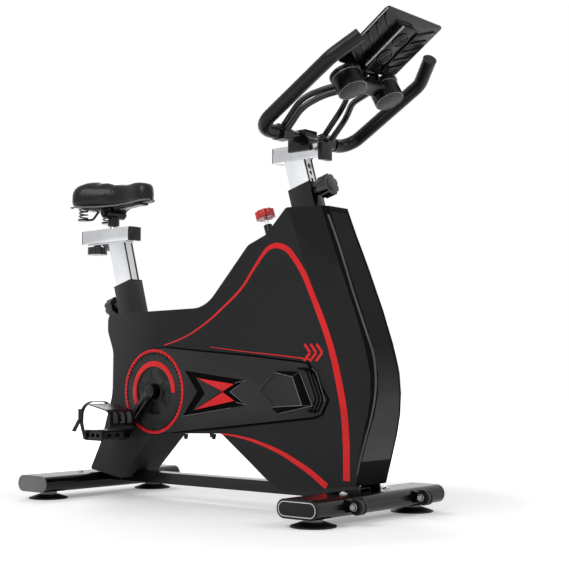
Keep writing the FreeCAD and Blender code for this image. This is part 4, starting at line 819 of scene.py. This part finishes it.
def windowed(name, width, material, windows):
    """Stands for a CAD node with windows cut along X or Y.

    Each window is its way, its place across and up as shares of the box, and its size in millimetres.
    """
    low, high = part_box(name)
    piece = place(merged(name), name + "_shape", material, body_of_node[name])
    cutters = []
    for way, across, up, wide, tall in windows:
        cut_bm = bmesh.new()
        made = bmesh.ops.create_cube(cut_bm, size=1.0)["verts"]
        centre = low.lerp(high, 0.5)
        centre.z = low.z + (high.z - low.z) * up
        if way == "Y":
            centre.x = low.x + (high.x - low.x) * across
            bmesh.ops.scale(cut_bm, verts=made, vec=(wide * MM, 400 * MM, tall * MM))
        else:
            centre.y = low.y + (high.y - low.y) * across
            bmesh.ops.scale(cut_bm, verts=made, vec=(400 * MM, wide * MM, tall * MM))
        bmesh.ops.translate(cut_bm, verts=made, vec=centre)
        cutters.append(loose(cut_bm))
    carve(piece, cutters)
    round_edges(piece, width)
    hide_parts(name)
    return piece


CAGE_WINDOWS = [("Y", 0.40, 0.45, 9, 20)] + [("X", across, 0.50, 15, 30) for across in (0.22, 0.50, 0.78)]
PEDAL_WINDOWS = ([("Y", across, 0.5, 13, 10) for across in (0.22, 0.5, 0.78)]
                 + [("X", across, 0.5, 14, 10) for across in (0.2, 0.45, 0.7)])
# from the crank axle to the right pedal's axle
crank_way = Vector((-102.35, 0, -117.7)).normalized()
crank_turn = Matrix.Rotation(-math.atan2(crank_way.z, crank_way.x), 3, "Y")
ARM_LINE_LENGTH = 106 * MM
ARM_LINE_MIDDLE = 78 * MM
ARM_LINE_OFFSET = 7.5 * MM
TEETH = 9
TOOTH = 3.2 * MM
TOOTH_ROWS = (4 * MM, 86 * MM)
EIGHTH_TURN = Matrix.Rotation(math.radians(45), 4, "Z")
for side, side_name in SIDES:
    eased("crank_arm_" + side_name, 2.2 * MM, forged_black, segments=3)
    arm_low, arm_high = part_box("crank_arm_" + side_name)
    arm_face = Vector((crank_centre.x, arm_low.y if side < 0 else arm_high.y, crank_centre.z))
    bolt_bm = bmesh.new()
    ring_about(bolt_bm, arm_face, (0, side, 0), 12 * MM, 8 * MM, 1.6 * MM)
    stub(bolt_bm, arm_face + Vector((0, side * 0.5 * MM, 0)), 6.5 * MM, 2 * MM, 6)
    place(bolt_bm, "crank_bolt_" + side_name, forged_black, "crank")
    arm_way = -side * crank_way
    arm_off = Vector((-arm_way.z, 0, arm_way.x))
    # two light lines along the arm's face: painted highlights on its edges
    arm_highlight_bm = bmesh.new()
    for offset in (-ARM_LINE_OFFSET, ARM_LINE_OFFSET):
        made = bmesh.ops.create_cube(arm_highlight_bm, size=1.0)["verts"]
        bmesh.ops.scale(arm_highlight_bm, verts=made, vec=(ARM_LINE_LENGTH, 0.8 * MM, 1.1 * MM))
        bmesh.ops.rotate(arm_highlight_bm, verts=made, matrix=crank_turn)
        bmesh.ops.translate(arm_highlight_bm, verts=made,
                            vec=arm_face + arm_way * ARM_LINE_MIDDLE + arm_off * offset)
    place(arm_highlight_bm, "crank_arm_highlights_" + side_name, grey_painted_highlight, "crank")

    windowed("toe_cage_" + side_name, 0.6 * MM, moulded_black, CAGE_WINDOWS)
    windowed("pedal_" + side_name, 0.8 * MM, moulded_black, PEDAL_WINDOWS)
    pedal_low, pedal_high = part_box("pedal_" + side_name)
    outer_y = pedal_low.y if side < 0 else pedal_high.y
    teeth_bm = bmesh.new()
    for i in range(TEETH):
        x = pedal_low.x + 5 * MM + (pedal_high.x - pedal_low.x - 10 * MM) * i / (TEETH - 1)
        for z in (pedal_low.z, pedal_high.z):
            for row in TOOTH_ROWS:
                spot = Matrix.Translation((x, outer_y - side * row, z)) @ EIGHTH_TURN
                bmesh.ops.create_cone(teeth_bm, cap_ends=True, segments=4, radius1=TOOTH, radius2=TOOTH * 0.5,
                                      depth=4.5 * MM, matrix=spot)
    place(teeth_bm, "pedal_teeth_" + side_name, moulded_black, "pedal_" + side_name)

webbing = finish("webbing", (7, 7, 7), (16, 16, 16), 0.7, 900.0, 0.00012, Sheen_Weight=0.1,
                 Specular_IOR_Level=0.2)
weave_tree = webbing.node_tree
weave_shader = weave_tree.nodes["Principled BSDF"]
weave_where = node(weave_tree, "TexCoord").outputs["Object"]
weave_bands = node(weave_tree, "TexWave", {"Vector": weave_where, "Scale": 180.0, "Distortion": 0.4},
                   wave_type="BANDS", bands_direction="X")
weave_bump = node(weave_tree, "Bump", {"Height": weave_bands.outputs["Fac"], "Strength": 0.8,
                                       "Distance": 0.0004})
weave_tree.links.new(weave_bump.outputs["Normal"], weave_shader.inputs["Normal"])
dress(webbing, "toe_strap_right", "toe_strap_left")

# ---- posts, seat slider and their knobs ----------------------------------------------
# Chromed rectangular posts slide in the sleeves; the seat post carries a chromed slider tube
# with a black end block. Lobed black knobs lock the heights and the slider.

chrome = finish("chrome_plate", (178, 179, 182), (212, 213, 215), 0.16, 300.0, 0.00003, tone_scale=4.0,
                Metallic=1.0)
eased("seat_post", 0.8 * MM, chrome)
eased("handlebar_post", 0.8 * MM, chrome)
eased("seat_slider", 0.9 * MM, chrome)
eased("seat_slider_caps", 1.0 * MM, moulded_black)
eased("head_tube_caps", 1.2 * MM, moulded_black)
knob_black = finish("knob_black", (8, 8, 9), (16, 16, 17), 0.2, 1200.0, 0.00008, Specular_IOR_Level=0.5)
for knob in ("seat_post_knob", "handlebar_post_knob", "seat_slider_knob", "handlebar_slide_knob"):
    eased(knob, 1.8 * MM, knob_black, segments=3)

# the posts lean back by this angle; dark lines beside the edges of the front face are painted reflections in
# the chrome
LEAN = math.radians(16.0)
POST_DEPTH = 62 * MM
LINE_OFF_CENTRE = 13.5 * MM
post_way = Vector((-math.sin(LEAN), 0.0, math.cos(LEAN)))
post_front = Vector((math.cos(LEAN), 0.0, math.sin(LEAN)))
painted_reflection_black = finish("painted_reflection_black", (8, 8, 8), (14, 14, 14), 0.5, 900.0, 0.00008)


def post_reflection_lines(name, body, sleeve, length):
    """Two black strips on a post's front face above the sleeve's mouth: painted dark reflections along its
    edges.
    """
    low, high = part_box(sleeve)
    mouth = Vector((low.x + POST_DEPTH / 2 + 5 * MM, 0.0, high.z - 11 * MM))
    middle = mouth + post_front * (POST_DEPTH / 2) + post_way * (length / 2)
    bm = bmesh.new()
    for side, _ in SIDES:
        made = bmesh.ops.create_cube(bm, size=1.0)["verts"]
        bmesh.ops.scale(bm, verts=made, vec=(1.2 * MM, 3.4 * MM, length))
        bmesh.ops.rotate(bm, verts=made, matrix=Matrix.Rotation(-LEAN, 3, "Y"))
        bmesh.ops.translate(bm, verts=made, vec=middle + Vector((0, side * LINE_OFF_CENTRE, 0)))
    return place(bm, name, painted_reflection_black, body)


post_reflection_lines("seat_post_reflection_lines", "seat_post", "seat_sleeve", 118 * MM)
post_reflection_lines("handlebar_post_reflection_lines", "handlebar_post", "head_sleeve", 66 * MM)

# ---- saddle --------------------------------------------------------------------------
# A foam saddle in satin black synthetic leather over a moulded shell, on bent steel rails
# with two coil springs. The cover is pulled round the shell's edge, and piping follows it.

clamp_steel = finish("clamp_steel", (24, 24, 25), (44, 44, 45), 0.3, 600.0, 0.00010, Metallic=0.8)
dress(clamp_steel, "saddle_clamp")
black_wire = finish("black_wire", (7, 7, 8), (13, 13, 14), 0.26, 700.0, 0.00010, Specular_IOR_Level=0.3)
dress(black_wire, "saddle_rails")
dress(moulded_black, "saddle_shell")
seat_low, seat_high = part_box("saddle")
seat_length = seat_high.x - seat_low.x

# stations from tail to nose: share of the length, middle height and underside above the base
SADDLE = [(0.00, 50, -20), (0.10, 58, -23), (0.24, 60, -24), (0.38, 52, -24), (0.52, 43, -22),
          (0.66, 42, -19), (0.82, 48, -16), (0.93, 48, -14), (1.00, 40, -12)]
SKIRT = 3.5 * MM
KEEL = 2 * MM
seat_tree = shell_tree("saddle")


def saddle_station(share):
    """Top and underside at a share of the saddle's length, in metres."""
    for (s0, *a), (s1, *b) in zip(SADDLE, SADDLE[1:]):
        if share <= s1:
            t = (share - s0) / (s1 - s0)
            t = t * t * (3 - 2 * t)
            return [(p + (q - p) * t) * MM for p, q in zip(a, b)]
    return [v * MM for v in SADDLE[-1][1:]]


def seat_edge(x):
    """Half the width of the saddle's base at a place along it."""
    inside = max(seat_low.x + 1.5 * MM, min(seat_high.x - 1.5 * MM, x))
    hit = seat_tree.ray_cast(Vector((inside, RAY_START, seat_low.z + 2.5 * MM)), Vector((0, -1, 0)))[0]
    return hit.y if hit else 12 * MM


def signed_power(value, exponent):
    """A power that keeps the value's sign, for rounded corners."""
    return math.copysign(abs(value) ** exponent, value)


saddle_bm = bmesh.new()
bmesh.ops.create_uvsphere(saddle_bm, u_segments=72, v_segments=72, radius=1.0,
                          matrix=Matrix.Rotation(math.radians(90), 4, "Y"))
for vert in saddle_bm.verts:
    t = max(-1.0, min(1.0, vert.co.x))
    ring_r = math.sqrt(max(1e-9, 1 - t * t))
    along = signed_power(math.sin(t * math.pi / 2), 0.92)
    share = (along + 1) / 2
    blunt = max(0.0, 1 - abs(along) ** 7) ** (1 / 2.2)
    top, under = saddle_station(share)
    x = seat_low.x - SKIRT + share * (seat_length + 2 * SKIRT)
    half_width = (seat_edge(x) + SKIRT) * (0.30 + 0.70 * blunt if ring_r > 1e-3 else 0.0)
    c, s = vert.co.y / ring_r, vert.co.z / ring_r
    crown = top * (1 - 0.16 * abs(c) ** 3 + 0.10 * abs(c) * max(0.0, 0.36 - share))
    rise = signed_power(s, 0.6) * (crown - KEEL if s > 0 else KEEL - under)
    vert.co = Vector((x, signed_power(c, 0.55) * half_width,
                      seat_low.z + KEEL + rise * (0.25 + 0.75 * blunt)))
bmesh.ops.remove_doubles(saddle_bm, verts=saddle_bm.verts, dist=1e-5)
bmesh.ops.recalc_face_normals(saddle_bm, faces=saddle_bm.faces)


def tube_along(bm, points, radius):
    """A round tube with closed ends, its rings square to the way it runs."""
    rings = []
    last = len(points) - 1
    for i, point in enumerate(points):
        way = (points[min(i + 1, last)] - points[max(i - 1, 0)]).normalized()
        turn = way.to_track_quat("Z", "Y").to_matrix().to_4x4()
        rings.append(bmesh.ops.create_circle(bm, cap_ends=i in (0, last), radius=radius, segments=12,
                                             matrix=Matrix.Translation(point) @ turn)["verts"])
    for ring, following in zip(rings, rings[1:]):
        edges = {e for v in ring for e in v.link_edges if e.other_vert(v) in ring}
        edges |= {e for v in following for e in v.link_edges if e.other_vert(v) in following}
        bmesh.ops.bridge_loops(bm, edges=list(edges))
    bmesh.ops.recalc_face_normals(bm, faces=bm.faces)


PIPING_STEPS = 48
piping_bm = bmesh.new()
for side, _ in SIDES:
    line = []
    for i in range(PIPING_STEPS + 1):
        share = i / PIPING_STEPS
        x = seat_low.x + 2 * MM + (seat_length - 4 * MM) * share
        under = saddle_station(share)[1]
        line.append(Vector((x, side * (seat_edge(x) - 1.5 * MM), seat_low.z + under + 4.5 * MM)))
    tube_along(piping_bm, line, 2.2 * MM)
place(piping_bm, "saddle_piping", moulded_grey, "saddle")

saddle_skin = finish("saddle_skin", (5, 5, 6), (11, 11, 12), 0.27, 520.0, 0.00012, tone_scale=9.0,
                     Specular_IOR_Level=0.26, Sheen_Weight=0.02)


def swell(piece, pressure, cap, voxel, frames):
    """Blows the piece up like stuffed cloth, with no point moving more than the cap."""
    remesh = piece.modifiers.new("remesh", "REMESH")
    remesh.mode = "VOXEL"
    remesh.voxel_size = voxel
    bpy.context.view_layer.update()
    even = bpy.data.meshes.new_from_object(piece.evaluated_get(bpy.context.evaluated_depsgraph_get()))
    piece.modifiers.clear()
    piece.data = even
    rest = [v.co.copy() for v in even.vertices]
    cloth = piece.modifiers.new("cloth", "CLOTH")
    cloth.settings.use_pressure = True
    cloth.settings.uniform_pressure_force = pressure
    cloth.settings.tension_stiffness = 25.0
    cloth.settings.compression_stiffness = 25.0
    cloth.settings.effector_weights.gravity = 0.0
    for step in range(1, frames + 1):
        scene.frame_set(step)
    blown = bpy.data.meshes.new_from_object(piece.evaluated_get(bpy.context.evaluated_depsgraph_get()))
    piece.modifiers.clear()
    piece.data = blown
    for vert, start in zip(blown.vertices, rest):
        move = vert.co - start
        if move.length > cap:
            vert.co = start + move * (cap / move.length)
    scene.frame_set(1)


saddle_piece = place(saddle_bm, "saddle_cover", saddle_skin, "saddle", crease=180.0)
swell(saddle_piece, pressure=3.0, cap=5.0 * MM, voxel=5.0 * MM, frames=20)
smooth_saddle = saddle_piece.modifiers.new("smooth", "SUBSURF")
smooth_saddle.levels = 1
smooth_saddle.render_levels = 1
saddle_piece.data.shade_smooth()
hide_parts("saddle")

# ---- resistance knob -----------------------------------------------------------------
# A scalloped knob moulded in bright red on a chromed rod that runs down to the brake. It is
# turned to set the resistance and pressed down to stop the wheel.

knob_red = finish("knob_red", (196, 12, 16), (220, 22, 26), 0.28, 1500.0, 0.00005, Specular_IOR_Level=0.5)
eased("resistance_knob", 1.8 * MM, knob_red, segments=3)
dress(chrome, "brake_rod")

# ---- handlebar, grips and hand rests -------------------------------------------------
# A bent steel bar with sleeves of dense foam, clamped on the head tube. Two pairs of inner
# tubes rise to a bridge between two round moulded hand rests.

grip_foam = finish("grip_foam", (9, 9, 10), (16, 16, 17), 0.3, 1300.0, 0.00014, Sheen_Weight=0.02,
                   Specular_IOR_Level=0.2)
gloss_tube = finish("gloss_tube", (7, 7, 8), (14, 14, 15), 0.18, 900.0, 0.00008, Specular_IOR_Level=0.3,
                    Coat_Weight=0.15, Coat_Roughness=0.1)
rest_black = finish("rest_black", (7, 7, 8), (14, 14, 15), 0.22, 1500.0, 0.00008, Specular_IOR_Level=0.16)
dress(gloss_tube, "handlebar", "inner_tubes")
dress(grip_foam, "grips")
eased("handlebar_carriage", 0.8 * MM, powder_coat)
eased("hand_rests", 1.2 * MM, rest_black, segments=3)

# the rests lean back; each spot is the centre of a rest's underside
REST_LEAN = math.radians(28.0)
REST_SPOT = (464.4 * MM, 76 * MM, 1029 * MM)
REST_HEIGHT = 40 * MM
DIMPLE_RINGS = 5
DIMPLE_STEP = 5.6 * MM
rest_way = Vector((-math.sin(REST_LEAN), 0.0, math.cos(REST_LEAN)))
rest_turn = rest_way.to_track_quat("Z", "Y").to_matrix().to_4x4()
for side, side_name in SIDES:
    base = Vector((REST_SPOT[0], side * REST_SPOT[1], REST_SPOT[2]))
    # a light ring round the bottom and the top of each rest: painted highlights on their edges
    rim_bm = bmesh.new()
    ring_about(rim_bm, base - rest_way * (0.6 * MM), rest_way, 36.6 * MM, 34.6 * MM, 0.8 * MM, segments=64)
    ring_about(rim_bm, base + rest_way * REST_HEIGHT, rest_way, 38.3 * MM, 37.2 * MM, 1.6 * MM, segments=64)
    place(rim_bm, "rest_highlight_rim_" + side_name, grey_painted_highlight, "handlebar")
    dimples_bm = bmesh.new()
    for ring in range(1, DIMPLE_RINGS + 1):
        for i in range(5 * ring):
            angle = 2 * math.pi * i / (5 * ring) + 0.4 * ring
            off = Vector((math.cos(angle), math.sin(angle), 0.0)) * (DIMPLE_STEP * ring)
            matrix = Matrix.Translation(base) @ rest_turn @ Matrix.Translation(off)
            bmesh.ops.create_cone(dimples_bm, cap_ends=True, segments=8, radius1=1.2 * MM, radius2=1.2 * MM,
                                  depth=0.8 * MM, matrix=matrix)
    place(dimples_bm, "rest_dimples_" + side_name, ridge_highlight_and_dot_grey, "handlebar")

# ---- tablet holder -------------------------------------------------------------------
# A sloping moulded tray, ribbed underneath in a chevron pattern, with a raised spine that
# carries two round bosses and the hinge barrel.

tray_gloss = finish("tray_gloss", (6, 6, 7), (13, 13, 14), 0.24, 1500.0, 0.00006, Specular_IOR_Level=0.22)
eased("tablet_holder", 0.9 * MM, tray_gloss)
TRAY_SLOPE = math.radians(33.7)
TRAY_THICKNESS = 4 * MM
tray_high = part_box("tablet_holder")[1]
tray_down = Vector((-math.cos(TRAY_SLOPE), 0.0, -math.sin(TRAY_SLOPE)))
tray_under = Vector((math.sin(TRAY_SLOPE), 0.0, -math.cos(TRAY_SLOPE)))
tray_edge = Vector((tray_high.x - TRAY_THICKNESS * math.sin(TRAY_SLOPE), 0.0, tray_high.z))


def on_tray(down, across, below):
    """A point of the tray: down its slope, across it and below its upper face, in millimetres."""
    return tray_edge + tray_down * (down * MM) + Vector((0, across * MM, 0)) + tray_under * (below * MM)


def tray_bar(bm, start, end, width, low, high):
    """A straight rib on the tray between two (down, across) points."""
    a, b = Vector(start), Vector(end)
    way = (b - a).normalized()
    off = Vector((-way.y, way.x)) * (width / 2)
    corners = [a + off, b + off, b - off, a - off]
    face = bm.faces.new([bm.verts.new(on_tray(c.x, c.y, low)) for c in corners])
    grown = bmesh.ops.extrude_face_region(bm, geom=[face], use_keep_orig=True)["geom"]
    bmesh.ops.translate(bm, verts=verts_in(grown), vec=tray_under * ((high - low) * MM))
    bmesh.ops.recalc_face_normals(bm, faces=bm.faces)


tray_ribs_bm = bmesh.new()
for side, _ in SIDES:
    for down in range(22, 172, 30):
        tray_bar(tray_ribs_bm, (down, side * 104), (down + 34, side * 44), 7, 3.6, 7.5)
tray_ribs = place(tray_ribs_bm, "tray_ribs", tray_gloss, "tablet_holder")
round_edges(tray_ribs, 1.2 * MM)
rails_bm = bmesh.new()
for start, end in (((28, -33), (160, -33)), ((28, 33), (160, 33)), ((28, -33), (28, 33))):
    tray_bar(rails_bm, start, end, 3.0, 15.5, 20.5)
tray_rails = place(rails_bm, "tray_spine_rails", tray_gloss, "tablet_holder")
round_edges(tray_rails, 0.9 * MM)
# light lines along the spine rail's near edge and the tray's near edge: painted highlights
tray_highlight_bm = bmesh.new()
tray_bar(tray_highlight_bm, (26, -35.0), (162, -35.0), 2.4, 18, 21.6)
tray_bar(tray_highlight_bm, (4, -113.0), (170, -113.0), 1.8, 3.4, 5.0)
place(tray_highlight_bm, "tray_edge_highlights", bright_painted_highlight, "tablet_holder")
rings_bm = bmesh.new()
for down in (66, 122):
    for outer in (22, 15, 8):
        ring_about(rings_bm, on_tray(down, 0, 17.5), tray_under, outer * MM, (outer - 3.2) * MM, 3.0 * MM)
place(rings_bm, "tray_boss_rings", tray_gloss, "tablet_holder")
